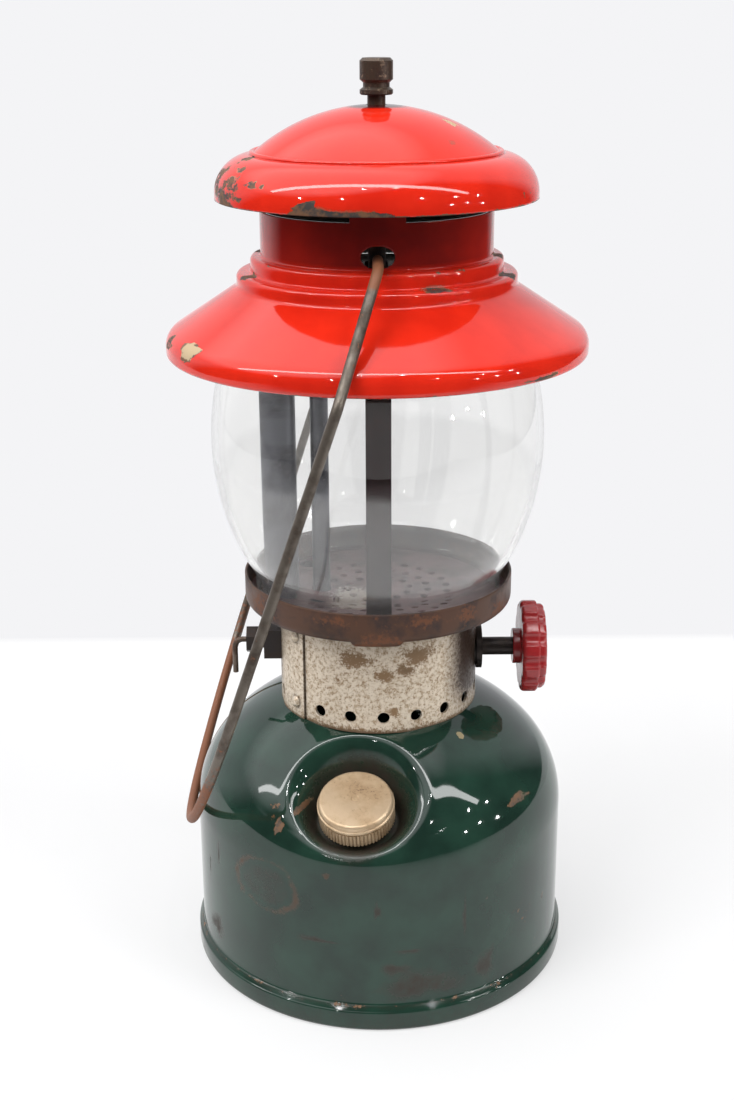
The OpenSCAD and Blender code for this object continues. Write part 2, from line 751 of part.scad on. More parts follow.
module control_knob() {
    step = 0.9;
    face = knob_t * 0.3;
    color("#a8202a") difference() {
        union() {
            along_x(hub_x, valve_z) cylinder(r = hub_r, h = hub_l);
            along_x(knob_x, valve_z) scalloped(knob_r, knob_t - face);
            along_x(knob_x + knob_t - face, valve_z) scalloped(knob_r - step, face);
        }
        along_x(hub_x - 1, valve_z) cylinder(r = valve_stem_r, h = hub_l + 1);
        along_x(knob_x + knob_t - knob_dish, valve_z) cylinder(r = knob_r * 0.62, h = knob_dish + 1);
        along_x(knob_x - 1, valve_z) cylinder(r = knob_bolt_r, h = knob_t + 2);
    }
}
module knob_screw() {
    seat = knob_x + knob_t - knob_dish;
    head_h = 2.4;
    head_r = 2.8;
    slot = 0.7;
    color("#8a7a66") difference() {
        union() {
            along_x(knob_x, valve_z) cylinder(r = knob_bolt_r, h = knob_t - knob_dish);
            along_x(seat, valve_z) cylinder(r = head_r, h = head_h);
        }
        translate([seat + head_h - slot, -head_r - 1, valve_z - slot / 2])
            cube([2 * slot, 2 * head_r + 2, slot]);
    }
}

// Cleaning lever: bent wire that turns a crank pin in the eccentric block and lifts the needle
module eccentric_block() {
    color("#262422") difference() {
        translate([-block_end, -block_w / 2, lever_z - block_w / 2])
            cube([block_end - bar_end, block_w, block_w]);
        along_minus_x(bar_end + room_wall, lever_z) cylinder(r = crank_room, h = 8);
        along_minus_x(shaft_in, lever_z) cylinder(r = lever_shaft_r + run_gap, h = block_end);
        translate([-generator_x, 0, lever_z]) cylinder(r = needle_bore_r, h = block_w);
        along_minus_x(bar_end - 1, valve_z) cylinder(r = jet_bore_r, h = room_wall + 2);
    }
}
module lever_gland() {
    thread_l = 2;
    color("#262422") difference() {
        union() {
            along_minus_x(block_end, lever_z) cylinder(r = gland_r - 1.2, h = thread_l + 0.2);
            along_minus_x(block_end + thread_l, lever_z) hexagon(2 * gland_r, gland_l - thread_l);
        }
        along_minus_x(block_end - 1, lever_z) cylinder(r = lever_shaft_r + run_gap, h = gland_l + 2);
    }
}
module cleaning_lever() {
    crank_x = bar_end + room_wall + free_gap;
    color("#6e5a48") {
        along_minus_x(shaft_in, lever_z) cylinder(r = lever_shaft_r, h = shaft_out - shaft_in);
        along_minus_x(crank_x, lever_z - crank_offset) cylinder(r = crank_r, h = shaft_in - crank_x + 1);
        along_minus_x(shaft_out - 1, lever_z) cylinder(r = lever_wire_r, h = lever_out - lever_bend_r + 1);
        translate([-lever_bend_x + lever_bend_r, 0, lever_z - lever_bend_r]) rotate([90, -90, 0])
            rotate_extrude(angle = 90) translate([lever_bend_r, 0]) circle(r = lever_wire_r);
        translate([-lever_bend_x, 0, lever_z - lever_drop])
            cylinder(r = lever_wire_r, h = lever_drop - lever_bend_r);
    }
}
module cleaning_needle() {
    foot_h = 1.2;
    low = lever_z - crank_offset + crank_r + free_gap;
    color("#9a9a96") translate([-generator_x, 0, low]) {
        cylinder(r = needle_r, h = generator_top - low - needle_lift - 1);
        cylinder(r = needle_bore_r - free_gap, h = foot_h);
    }
}
module generator() {
    tip_h = 4;
    tip_r = 1.6;
    seat_w = 1;
    tall = generator_top - block_top;
    color("#8a6f45") translate([-generator_x, 0, block_top]) difference() {
        union() {
            cylinder(r = generator_r, h = tall - tip_h);
            translate([0, 0, tall - tip_h]) cylinder(r1 = generator_r, r2 = tip_r, h = tip_h);
            cylinder(r = generator_r + seat_w, h = generator_seat);
        }
        translate([0, 0, -1]) cylinder(r = generator_r - air_tube_t, h = tall - tip_h);
        cylinder(r = needle_r + run_gap, h = tall + 1);
    }
}
module generator_nut() {
    wide = 3.4;
    color("#8a6f45") translate([-generator_x, 0, block_top + generator_seat]) difference() {
        hexagon(2 * generator_r + wide, 4.2);
        translate([0, 0, -1]) cylinder(r = generator_r, h = 8);
    }
}

// Burner frame: strap bent to a tall arch over the floor, with the stud that holds the hood
module burner_frame() {
    outer_r = 4;
    inner_r = outer_r - strap_t;
    inside = strap_y - strap_t;
    under = frame_top - strap_t;
    right = concat([[inside - foot_l, globe_z], [strap_y, globe_z]],
                   arc([strap_y - outer_r, frame_top - outer_r], outer_r, 0, 90, 6));
    left = [for (p = flip(right)) [-p.x, p.y]];
    back = concat([[-inside + foot_l, globe_z + strap_t], [-inside, globe_z + strap_t]],
                  arc([-inside + inner_r, under - inner_r], inner_r, 180, 90, 6),
                  arc([inside - inner_r, under - inner_r], inner_r, 90, 0, 6),
                  [[inside, globe_z + strap_t], [inside - foot_l, globe_z + strap_t]]);
    color("#33241d") difference() {
        rotate([90, 0, 90]) translate([0, 0, -strap_w / 2]) linear_extrude(height = strap_w)
            polygon(concat(right, left, back));
        strap_feet() translate([0, 0, globe_z - 1]) cylinder(r = rivet_r / 2, h = 5);
        translate([0, 0, frame_top - 5]) cylinder(r = stud_r, h = 10);
    }
}
module frame_rivets() {
    color("#5a4a3e") strap_feet() {
        translate([0, 0, floor_z - rivet_head]) cylinder(r = rivet_r, h = rivet_head);
        translate([0, 0, floor_z]) cylinder(r = rivet_r / 2, h = floor_t + strap_t);
        translate([0, 0, globe_z + strap_t]) cylinder(r = rivet_r, h = rivet_head);
    }
}
module frame_stud() {
    under = frame_top - strap_t;
    color("#3a332c") {
        translate([0, 0, under - stud_nut_t]) hexagon(stud_nut_w, stud_nut_t);
        translate([0, 0, under]) cylinder(r = stud_r, h = stud_top - under);
    }
}

// Burner: air tube, the pipe that mixes gas and air, and the outlet that carries a mantle
module air_tube() {
    color("#23262e") translate([-air_tube_x, 0, globe_z])
        ring(air_tube_r, air_tube_r - air_tube_t, air_tube_h);
}
module burner_pipe() {
    color("#23262e") difference() {
        translate([-pipe_r, 0, tube_top]) rotate([90, 0, 0])
            rotate_extrude(angle = 180) translate([pipe_r, 0]) difference() {
                circle(r = air_tube_r);
                circle(r = air_tube_r - air_tube_t);
            }
        translate([-generator_x, 0, generator_top - 2]) cylinder(r = jet_bore_r, h = air_tube_r);
    }
}
module burner_outlet() {
    socket = 3;
    bore = air_tube_r - air_tube_t;
    groove = 1.2;
    color("#2c2a2c") translate([0, 0, burner_z]) rotate_extrude() polygon([
        [burner_r - 1.4, 0], [burner_r, 0], [burner_r, 2.4], [burner_r - groove, 3], [burner_r - groove, 5],
        [burner_r, 5.6], [burner_r, burner_h - 1], [burner_r - 2, burner_h], [air_tube_r, burner_h],
        [air_tube_r, burner_h + socket], [bore, burner_h + socket], [bore, burner_h - 1.4],
        [burner_r - 1.4, burner_h - 2.4]]);
}
module burner_screen() {
    pitch = 2.4;
    rows = floor((burner_r - 2) / pitch);
    color("#6a6660") translate([0, 0, burner_z + 0.4]) difference() {
        cylinder(r = burner_r - 1.4, h = 0.6);
        for (i = [-rows:rows]) for (j = [-rows:rows])
            if (norm([i, j]) * pitch < burner_r - 3)
                translate([i * pitch - 0.75, j * pitch - 0.75, -1]) cube([1.5, 1.5, 3]);
    }
}

// Globe: blown glass, the same bulge to both straight ends
module globe() {
    middle = globe_tall / 2;
    module half_section(inset) {
        centre = [globe_r - globe_curve_r, middle];
        sweep_c = [globe_neck_r + globe_sweep_r,
                   middle - sqrt(pow(globe_curve_r + globe_sweep_r, 2)
                                 - pow(globe_neck_r + globe_sweep_r - centre.x, 2))];
        lean = atan2(middle - sweep_c.y, sweep_c.x - centre.x);
        low = concat([[globe_neck_r - inset, 0]], arc(sweep_c, globe_sweep_r + inset, 180, 180 - lean, 6),
                     arc(centre, globe_curve_r - inset, -lean, 0, 12));
        polygon(concat([[0, 0]], low, [for (p = flip(low)) [p.x, globe_tall - p.y]], [[0, globe_tall]]));
    }
    color("#dfe8ea", 0.35) translate([0, 0, globe_z]) rotate_extrude() difference() {
        half_section(0);
        half_section(globe_t);
    }
}

// Hood: spun and enamelled, with exhaust gaps cut in its neck, then two rings and the brim
function hood_section(inset) = concat(
    [[hood_neck_r - inset, under_cap(hood_neck_r - inset)], [hood_neck_r - inset, ring_high_z - inset],
     [ring_high_r - ring_soft - inset, ring_high_z - inset],
     [ring_high_r - inset, ring_high_z - ring_soft - inset],
     [ring_high_r - inset, ledge_z + hood_t - inset],
     [ring_low_r - ring_soft - inset, ledge_z + hood_t - inset],
     [ring_low_r - inset, ledge_z + hood_t - ring_soft - inset],
     [ring_low_r - inset, ledge_z + hood_t - ring_low_h]],
    [for (i = [0:6]) let (a = brim_slope * (1 - i / 6))
        [brim_r - brim_bend_r * (1 - cos(a)) - inset,
         brim_z + brim_lip_h + brim_bend_r * sin(a) - inset * (1 - i / 6)]],
    [[brim_r - inset, brim_z]]);
module exhaust_gaps() {
    for (i = [0:3]) rotate([0, 0, i * 90 + leg_angle / 2]) translate([0, 0, neck_top])
        rotate_extrude(angle = 90 - leg_angle) translate([hood_neck_r - 2 * hood_t, 0])
            square([3 * hood_t, cap_top - neck_top]);
}
module vent_hood() {
    color("#e5301f") difference() {
        spun_sheet(hood_section(0), hood_section(hood_t));
        exhaust_gaps();
        translate([0, hood_neck_r + 1, bail_hole_z]) rotate([90, 0, 0])
            cylinder(r = bail_hole_r, h = 2 * hood_neck_r + 2);
    }
}

// Cap: spherical crown inside a rolled ring, on the hood's legs
function cap_section(inset) = concat(
    [[cap_r - inset, cap_lip_z]], arc(cap_roll_c, cap_roll_r - inset, 0, 86, 10),
    arc([0, cap_crown_z], cap_crown_r - inset,
        acos((cap_roll_c.x - crease_w) / cap_crown_r), 90 - asin(stud_r / cap_crown_r), 12));
function under_cap(r) = lookup(r, cap_section(hood_t));
module vent_cap() {
    color("#e5301f") difference() {
        spun_sheet(cap_section(0), cap_section(hood_t));
        translate([0, 0, cap_top - 10]) cylinder(r = stud_r + pass_gap, h = 20);
    }
}

// Ball nut: turned brass, closed at the top, waisted above its flange
module ball_nut() {
    flange = 1.6;
    waist = nut_h * 0.26;
    edge = 0.9;
    color("#4a3d2e") translate([0, 0, nut_z]) difference() {
        rotate_extrude() polygon([[0, 0], [nut_r - 0.4, 0], [nut_r, 0.4], [nut_r, flange],
            [nut_r - 1.1, flange + 0.8], [nut_r - 1.1, waist + 0.8], [nut_r, waist + 1.8],
            [nut_r, nut_h - edge], [nut_r - edge, nut_h], [0, nut_h]]);
        translate([0, 0, -1]) cylinder(r = stud_r + run_gap, h = nut_h - nut_roof + 1);
    }
}

// Bail: one wire, its upset ends hooked through the neck, bowed out past the brim to a round arch
module bail() {
    tail = hood_neck_r - hook_in;
    straight = bail_reach - bail_half_w;
    arm = bent_route([[hood_neck_r, 0], [bail_hook_y, 0], [bail_half_w, bail_bend], [bail_half_w, straight]],
                     bail_bend_r);
    arch = arc([0, straight], bail_half_w, 0, 180, 36);
    other = [for (p = flip(arm)) [-p.x, p.y]];
    inner = [for (i = [0:len(arm) - 2]) arm[i]];
    outer = [for (i = [1:len(other) - 1]) other[i]];
    color("#6a6258") translate([0, 0, pivot_z]) rotate([0, bail_lean, 0]) rotate([-90, 0, 90]) {
        swept_wire(concat(inner, arch, outer), wire_r);
        for (side = [-1, 1]) translate([side * tail, 0, 0]) rotate([0, side * 90, 0])
            cylinder(r = wire_r + hook_swell, h = 2 * hook_in);
    }
}

fount_shell();
fount_bottom();
filler_neck();
fount_bush();
pickup_tube();
pump_barrel();
check_valve();
pump_cap();
pump_cap_screws();
collar();
collar_rivets();
gallery_bowl();
gallery_floor();
valve_body();
packing_nut();
eccentric_block();
lever_gland();
generator();
generator_nut();
burner_frame();
frame_rivets();
frame_stud();
air_tube();
burner_pipe();
burner_outlet();
burner_screen();
globe();
vent_hood();
vent_cap();
filler_cap();
filler_seal();
air_stem();
pump_rod();
pump_knob();
pump_leather();
leather_washer();
valve_stem();
control_knob();
knob_screw();
cleaning_lever();
cleaning_needle();
ball_nut();
bail();
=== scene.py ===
import math

import bmesh
import bpy
import numpy as np
from mathutils import Matrix, Quaternion, Vector


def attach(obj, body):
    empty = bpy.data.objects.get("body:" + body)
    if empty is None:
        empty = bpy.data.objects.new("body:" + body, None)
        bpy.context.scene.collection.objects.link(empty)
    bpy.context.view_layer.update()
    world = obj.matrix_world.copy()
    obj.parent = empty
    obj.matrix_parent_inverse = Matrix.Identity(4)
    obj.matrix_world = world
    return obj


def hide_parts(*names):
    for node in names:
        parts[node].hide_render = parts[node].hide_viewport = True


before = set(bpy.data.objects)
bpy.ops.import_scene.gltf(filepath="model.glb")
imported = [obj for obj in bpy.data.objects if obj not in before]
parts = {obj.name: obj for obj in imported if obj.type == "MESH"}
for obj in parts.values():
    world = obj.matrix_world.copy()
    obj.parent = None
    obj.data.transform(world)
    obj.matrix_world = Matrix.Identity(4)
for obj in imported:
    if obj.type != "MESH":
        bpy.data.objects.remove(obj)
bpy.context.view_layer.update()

# Studio: a white table that fades out under the viewer and runs back to a slightly greyer wall. The room
# behind the viewer is dim, so the enamel has something dark to mirror. Soft panels light the lantern, a long
# tube draws the lines on its rolls and small far lamps give the sparks.


def linear(shade):
    """A colour as read on a screen, in the linear light that shaders work in."""
    channels = [int(shade[i:i + 2], 16) / 255 for i in (1, 3, 5)]
    return [c / 12.92 if c <= 0.04045 else ((c + 0.055) / 1.055) ** 2.4 for c in channels] + [1.0]


def add(tree, kind, values=None, **settings):
    """Adds a node: settings are its own choices, values go to its inputs, and a node among them is linked."""
    made = tree.nodes.new(kind)
    for name, setting in settings.items():
        setattr(made, name, setting)
    for name, value in (values or {}).items():
        socket = made.inputs[name] if isinstance(name, int) else next(
            s for s in made.inputs if s.enabled and s.name == name)
        if isinstance(value, bpy.types.Node):
            value = next(s for s in value.outputs if s.enabled)
        if isinstance(value, bpy.types.NodeSocket):
            tree.links.new(value, socket)
        else:
            socket.default_value = value
    return made


def mix(tree, share, under, over):
    """One colour laid over another, each written as on a screen or given by a node."""
    shades = {name: linear(c) if isinstance(c, str) else c for name, c in (("A", under), ("B", over))}
    return add(tree, "ShaderNodeMix", {"Factor": share, **shades}, data_type="RGBA")


def maths(tree, operation, *terms, **settings):
    """The outcome of a sum on numbers and nodes."""
    return add(tree, "ShaderNodeMath", dict(enumerate(terms)), operation=operation, **settings)


def ramp(tree, value, low, high, start=0.0, end=1.0, **settings):
    """A value carried over from one range to another and held at its ends."""
    spread = {"Value": value, "From Min": low, "From Max": high, "To Min": start, "To Max": end}
    return add(tree, "ShaderNodeMapRange", spread, **settings)


def finish(name, shader, **looks):
    """A material whose tree ends in the shader that the given function adds to it."""
    made = bpy.data.materials.new(name)
    made.use_nodes = True
    made.node_tree.nodes.clear()
    add(made.node_tree, "ShaderNodeOutputMaterial", {"Surface": shader(made.node_tree, **looks)})
    return made


def piece(name, points, faces, look):
    """A new smooth-shaded piece from points in millimetres, its poles and seams closed."""
    shape = bpy.data.meshes.new(name)
    shape.from_pydata([tuple(p) for p in np.reshape(points, (-1, 3)) / 1000], [], [list(f) for f in faces])
    closing = bmesh.new()
    closing.from_mesh(shape)
    bmesh.ops.remove_doubles(closing, verts=closing.verts, dist=1e-7)
    bmesh.ops.delete(closing, geom=[v for v in closing.verts if not v.link_faces], context="VERTS")
    closing.to_mesh(shape)
    closing.free()
    shape.shade_smooth()
    shape.materials.append(look)
    made = bpy.data.objects.new(name, shape)
    bpy.context.scene.collection.objects.link(made)
    return made


def paper_white(tree, table, wall, edge, gloom, front, fade, own_light):
    """Paper that keeps the shadow on it and looks white, fading in what gloss mirrors towards its front."""
    place = add(tree, "ShaderNodeSeparateXYZ", {"Vector": add(tree, "ShaderNodeTexCoord").outputs["Object"]})
    back = ramp(tree, place.outputs["Y"], edge - 0.01, edge)
    shade = mix(tree, back, table, wall)
    paper = add(tree, "ShaderNodeBsdfPrincipled",
                {"Base Color": linear("#e4e4e4"), "Roughness": 0.6, "Specular IOR Level": 0.2})
    share = ramp(tree, back, 0, 1, own_light, 1.0)
    path = add(tree, "ShaderNodeLightPath")
    seen = maths(tree, "MAXIMUM", path.outputs["Is Camera Ray"], path.outputs["Is Glossy Ray"])
    seen = maths(tree, "MAXIMUM", seen, path.outputs["Is Transmission Ray"])
    seen = maths(tree, "MULTIPLY", seen, share)
    glow = add(tree, "ShaderNodeEmission", {"Color": shade})
    lit = add(tree, "ShaderNodeMixShader", {0: seen, 1: paper, 2: glow})
    clear = ramp(tree, place.outputs["Y"], front, fade, interpolation_type="SMOOTHSTEP")
    clear = maths(tree, "MAXIMUM", clear, path.outputs["Is Camera Ray"])
    dark = add(tree, "ShaderNodeEmission", {"Color": linear(gloom)})
    return add(tree, "ShaderNodeMixShader", {0: clear, 1: dark, 2: lit})


wall_white, gloom = "#f4f4f6", "#3a3a3d"
table_wide, table_front, table_back = 1000, -760, 4000
corners = ((-1, table_front), (1, table_front), (1, table_back), (-1, table_back))
table = piece("table", [(x * table_wide, y, 0) for x, y in corners], [(0, 1, 2, 3)],
              finish("paper_white", paper_white, table="#f4f4f4", wall=wall_white, edge=0.295, gloom=gloom,
                     front=table_front / 1000, fade=-0.14, own_light=0.55))

room = bpy.data.worlds.new("pale_room")
room.use_nodes = True
room.node_tree.nodes.clear()
way = add(room.node_tree, "ShaderNodeSeparateXYZ",
          {"Vector": add(room.node_tree, "ShaderNodeTexCoord").outputs["Generated"]})
behind = maths(room.node_tree, "MULTIPLY_ADD", way.outputs["X"], -0.25, way.outputs["Y"])
behind = maths(room.node_tree, "MULTIPLY_ADD", way.outputs["Z"], 0.9, behind)
behind = ramp(room.node_tree, behind, 0.4, 0.7)
over = maths(room.node_tree, "MULTIPLY_ADD", way.outputs["X"], -0.42, way.outputs["Z"])
over = ramp(room.node_tree, over, 0.72, 0.88)
walls = mix(room.node_tree, behind, gloom, "#e4e4e8")
lit = mix(room.node_tree, over, walls, [1.8, 1.8, 1.83, 1.0])
lit = add(room.node_tree, "ShaderNodeBackground", {"Color": lit})
path = add(room.node_tree, "ShaderNodeLightPath")
plain = add(room.node_tree, "ShaderNodeBackground", {"Color": linear(wall_white)})
lit = add(room.node_tree, "ShaderNodeMixShader", {0: path.outputs["Is Camera Ray"], 1: lit, 2: plain})
plain = add(room.node_tree, "ShaderNodeBackground", {"Color": linear("#ffffff"), "Strength": 1.1})
lit = add(room.node_tree, "ShaderNodeMixShader", {0: path.outputs["Is Transmission Ray"], 1: lit, 2: plain})
add(room.node_tree, "ShaderNodeOutputWorld", {"Surface": lit})
bpy.context.scene.world = room

aim = Vector((0, 0, 0.17))
panels = [("panel_left", (-0.9, -0.7, 1.5), 0.9, 0.9, 15.0),
          ("panel_right", (1.0, -0.6, 1.3), 0.7, 0.7, 10.0)]
tubes = [("tube_front", (-0.1, -0.8, 2.05), 7.0, 0.28, 62.0)]
lamps = [("lamp_%d" % i, spot, 0.05, 0.05, 1.6) for i, spot in enumerate((
    (2.0, -0.5, 0.35), (1.8, -0.9, 0.5), (1.5, -1.2, 0.45), (1.9, -0.5, 0.95), (1.6, -1.0, 1.1),
    (1.0, -1.6, 1.2), (-1.5, -1.0, 1.0), (-0.8, -1.7, 1.2), (-0.3, -1.3, 2.2), (0.4, -1.2, 2.2)))]
for name, spot, width, depth, power in panels + tubes + lamps:
    light = bpy.data.lights.new(name, "AREA")
    light.shape = "RECTANGLE" if width > depth else "ELLIPSE"
    light.size = width
    light.size_y = depth
    light.energy = power
    lamp = bpy.data.objects.new(name, light)
    lamp.location = spot
    lamp.rotation_euler = (aim - Vector(spot)).to_track_quat("-Z", "Y").to_euler()
    lamp.visible_glossy = depth < 0.5
    lamp.visible_diffuse = width == depth
    bpy.context.scene.collection.objects.link(lamp)

viewer = bpy.data.objects.new("viewer", bpy.data.cameras.new("viewer"))
viewer.data.lens = 51.70
viewer.data.sensor_width = 36
viewer.location = (-0.00397, -0.5388, 0.3447)
viewer.rotation_mode = "QUATERNION"
viewer.rotation_quaternion = Quaternion((1, 0, 0), math.radians(70.63)) @ Quaternion((0, 0, 1), -0.006)
bpy.context.scene.collection.objects.link(viewer)
bpy.context.scene.camera = viewer
bpy.context.scene.view_settings.view_transform = "Standard"

# Tank: drawn from sheet steel, hemmed under at the foot, with two dishes pressed in for the filler and the
# pump. Dark green stove enamel, chipped along the foot's groove and rust-marked on the left.


def arc(centre, radius, first, last, steps):
    """Points of an outline along an arc, from one angle to another, in degrees."""
    angles = np.radians(np.linspace(first, last, steps + 1))
    return np.stack([centre[0] + radius * np.cos(angles), centre[1] + radius * np.sin(angles)], -1)


def spaced(line, step):
    """The same line with points no further apart than the step."""
    points = [line[0]]
    for a, b in zip(line[:-1], line[1:]):
        count = max(1, math.ceil(np.hypot(*np.subtract(b, a)) / step))
        points += [np.add(a, np.subtract(b, a) * (i + 1) / count) for i in range(count)]
    return np.array(points)


def spun(outline, turns):
    """Points and faces of an outline of radius and height spun round the axis, at turns from the front."""
    radius, height = np.array(outline, float).T
    turns = np.radians(turns)
    points = np.stack([np.outer(np.sin(turns), radius), np.outer(-np.cos(turns), radius),
                       np.outer(np.ones(len(turns)), height)], -1)
    here = np.arange(len(turns) * len(radius)).reshape(len(turns), len(radius))
    beside = np.roll(here, -1, axis=0)
    faces = np.stack([here[:, :-1], beside[:, :-1], beside[:, 1:], here[:, 1:]], -1)
    return points.reshape(-1, 3), faces.reshape(-1, 4)


def in_frame(points, fitting):
    """Points in a fitting's own frame, whose Z runs out along its axis."""
    into = np.array(fitting.inverted())
    return points @ into[:3, :3].T + into[:3, 3]


def pressed(points, fitting, floor_r, lip_r, wider, sag):
    """The points with a dish pressed in along a fitting's axis: flat to floor_r, then up to a broad lip."""
    local = in_frame(points, fitting)
    away = np.hypot(local[:, 0] / wider, local[:, 1])
    climb = 1 - (1 - np.clip((away - floor_r) / (lip_r - floor_r), 0, 1) ** 1.3) ** 2.2
    sunk = sag * np.exp(-((away - lip_r) / 7) ** 2) * np.clip(local[:, 2] / 6, 0, 1)
    local[:, 2] = np.where(local[:, 2] > 0, (local[:, 2] - sunk) * climb, local[:, 2])
    out = np.array(fitting)
    return local @ out[:3, :3].T + out[:3, 3]


def blot(spots, turn, height, wide, tall, rough=1.0):
    """Depth inside a ragged oval mark on a round piece: 1 at its middle, 0 at its edge, below 0 outside."""
    x, y, z = spots.T
    across = np.radians(np.degrees(np.arctan2(x, -y)) - turn) * np.hypot(x, y) / wide
    up = (z - height) / tall
    way = np.arctan2(up, across)
    ragged = 0.16 * np.sin(3 * way + turn) + 0.1 * np.sin(5 * way - height)
    ragged += 0.06 * np.sin(9 * way + 2 * turn)
    return 1 - np.hypot(across, up) * (1 + rough * ragged)


def marks(spots, *ovals, edge=2.5, rough=1.0):
    """The deepest of several oval marks at each point. A low edge fades them out softly."""
    return np.max([np.clip(edge * blot(spots, *oval, rough=rough), 0, 1) for oval in ovals], axis=0)


def spots_of(made):
    """A piece's points in millimetres."""
    flat = np.empty(3 * len(made.data.vertices))
    made.data.vertices.foreach_get("co", flat)
    return flat.reshape(-1, 3) * 1000


def wear(made, **layers):
    """Stores how worn each point of a piece is, for its finish to read."""
    for name, amount in layers.items():
        made.data.attributes.new(name, "FLOAT", "POINT").data.foreach_set("value", amount.astype(np.float32))


def noise(tree, spot, grain_mm, detail, roughness=0.5):
    """Mottling with a grain of so many millimetres."""
    return add(tree, "ShaderNodeTexNoise",
               {"Vector": spot, "Scale": 1000 / grain_mm, "Detail": detail, "Roughness": roughness})


def enamel(tree, bright, deep, ground, bare, rusty, stain, soil, soot):
    """Stove enamel, chipped, rusted, soiled and blackened by heat where a piece's wear says so, with painted
    shade laid in the same dark.
    """
    spot = add(tree, "ShaderNodeTexCoord").outputs["Object"]
    chip, primer, rust, grime, burn = (add(tree, "ShaderNodeAttribute", attribute_name=layer).outputs["Fac"]
                                       for layer in ("chip", "primer", "rust", "grime", "burn"))
    cloud = noise(tree, spot, 16, 5.0)
    patch = noise(tree, spot, 4, 6.0, 0.65)
    grain = noise(tree, spot, 1.1, 8.0, 0.7)
    mottle = maths(tree, "MULTIPLY_ADD", patch, 1.3, grain)
    # Flakes: the mark's depth plus the mottle decides, so an edge is ragged and a faint mark only speckles.
    chance = maths(tree, "MULTIPLY_ADD", mottle, 0.9, chip)
    flaked = ramp(tree, chance, 1.49, 1.54)
    deeper = maths(tree, "MULTIPLY_ADD", cloud, 0.5, chance)
    deeper = maths(tree, "SUBTRACT", deeper, primer)
    through = ramp(tree, deeper, 1.68, 1.75)
    rusting = ramp(tree, patch, 0.45, 0.58)
    metal = mix(tree, rusting, bare, rusty)
    spread = maths(tree, "MULTIPLY_ADD", mottle, 0.7, rust)
    stained = ramp(tree, spread, 1.1, 1.6)
    # Heat blackening, and on the hood's neck painted shade under the cap, take the coat towards its darkest
    # colour.
    smoke = maths(tree, "MULTIPLY_ADD", cloud, 0.3, burn)
    sooted = ramp(tree, smoke, 0.2, 1.15)
    film = maths(tree, "MULTIPLY", mottle, grime)
    soiled = ramp(tree, film, 0.45, 1.25)
    shade = ramp(tree, cloud, 0.35, 0.65)
    coat = mix(tree, shade, bright, deep)
    coat = mix(tree, sooted, coat, soot)
    coat = mix(tree, soiled, coat, soil)
    coat = mix(tree, stained, coat, stain)
    coat = mix(tree, flaked, coat, ground)
    coat = mix(tree, through, coat, metal)
    dull = maths(tree, "MAXIMUM", flaked, stained)
    dull = maths(tree, "MAXIMUM", dull, soiled)
    smoked = maths(tree, "MULTIPLY", sooted, 0.12)
    dull = maths(tree, "MAXIMUM", dull, smoked)
    gloss = ramp(tree, dull, 0, 1, 0.03, 0.6)
    gloss = maths(tree, "MULTIPLY_ADD", cloud, 0.05, gloss)
    peel = noise(tree, spot, 9, 2.0)
    relief = maths(tree, "MULTIPLY_ADD", flaked, -1.2, peel)
    bump = add(tree, "ShaderNodeBump", {"Height": relief, "Strength": 0.22, "Distance": 0.00012})
    return add(tree, "ShaderNodeBsdfPrincipled",
               {"Base Color": coat, "Roughness": gloss, "IOR": 1.52, "Normal": bump})


foot_r, foot_h, tank_r, wall_h = 70.0, 9.5, 68.2, 58.5
hem_r, pan_z, bush_r = 67.0, 6.0, 8.0
shoulder_r, shoulder_a, crown_r = 38.6, 43.0, 62.0
shoulder_c = np.array((tank_r - shoulder_r, wall_h))
crown_c = arc(shoulder_c, shoulder_r - crown_r, shoulder_a, shoulder_a, 1)[0]
bush_a = math.degrees(math.acos((bush_r - crown_c[0]) / crown_r))
foot_line = np.concatenate([
    [(hem_r, pan_z), (hem_r, 0)], arc((foot_r - 1.5, 1.5), 1.5, -90, 0, 5),
    arc((foot_r - 1.2, 6.8), 1.2, 0, 60, 4), arc((tank_r + 1.4, foot_h + 1.2), 1.4, -120, -180, 4)])
dome_line = np.concatenate([arc(shoulder_c, shoulder_r, 0, shoulder_a, 58),
                            arc(crown_c, crown_r, shoulder_a, bush_a, 90)[1:]])
tank_line = np.concatenate([foot_line, spaced([foot_line[-1], dome_line[0]], 1.3)[1:-1], dome_line])
filler = (Matrix.Rotation(math.radians(-9), 4, "Z") @ Matrix.Translation((0, -50, 72.104))
          @ Matrix.Rotation(math.radians(22), 4, "X"))
pump = Matrix.Translation((13, 49, 82.368)) @ Matrix.Rotation(math.radians(-42), 4, "X")
points, faces = spun(tank_line, np.concatenate([np.arange(-37, 19, 0.45), np.arange(19, 142, 1.1),
                                                np.arange(142, 188, 0.8), np.arange(188, 323, 1.1)]))
points = pressed(points, filler, floor_r=12.4, lip_r=24.0, wider=1.15, sag=1.0)
points = pressed(points, pump, floor_r=14.0, lip_r=18.5, wider=1.0, sag=0.8)
kept = np.ones(len(faces), bool)
for fitting, bore in ((filler, 9.6), (pump, 7.9)):
    middle = in_frame(points[faces].mean(1), fitting)
    kept &= (np.hypot(middle[:, 0], middle[:, 1]) > bore) | (np.abs(middle[:, 2]) > 3)
green_enamel = finish("green_enamel", enamel, bright="#203a2f", deep="#172b23", ground="#8f8262",
                      bare="#4a3d31", rusty="#6b4d34", stain="#4d3a2a", soil="#302820", soot="#1c2119")
tank = piece("tank", points, faces[kept], green_enamel)
spots = spots_of(tank)
by_filler = in_frame(spots, filler)
from_filler = np.hypot(by_filler[:, 0], by_filler[:, 1])
in_dish = np.clip((22 - from_filler) / 6, 0, 1) * (np.abs(by_filler[:, 2]) < 25)
groove = np.clip(1 - np.abs(spots[:, 2] - foot_h + 0.4) / 1.6, 0, 1)
low_film = 0.55 * np.clip(1 - spots[:, 2] / 24, 0, 1)
ring_turn, ring_z = -36.5, 50.5
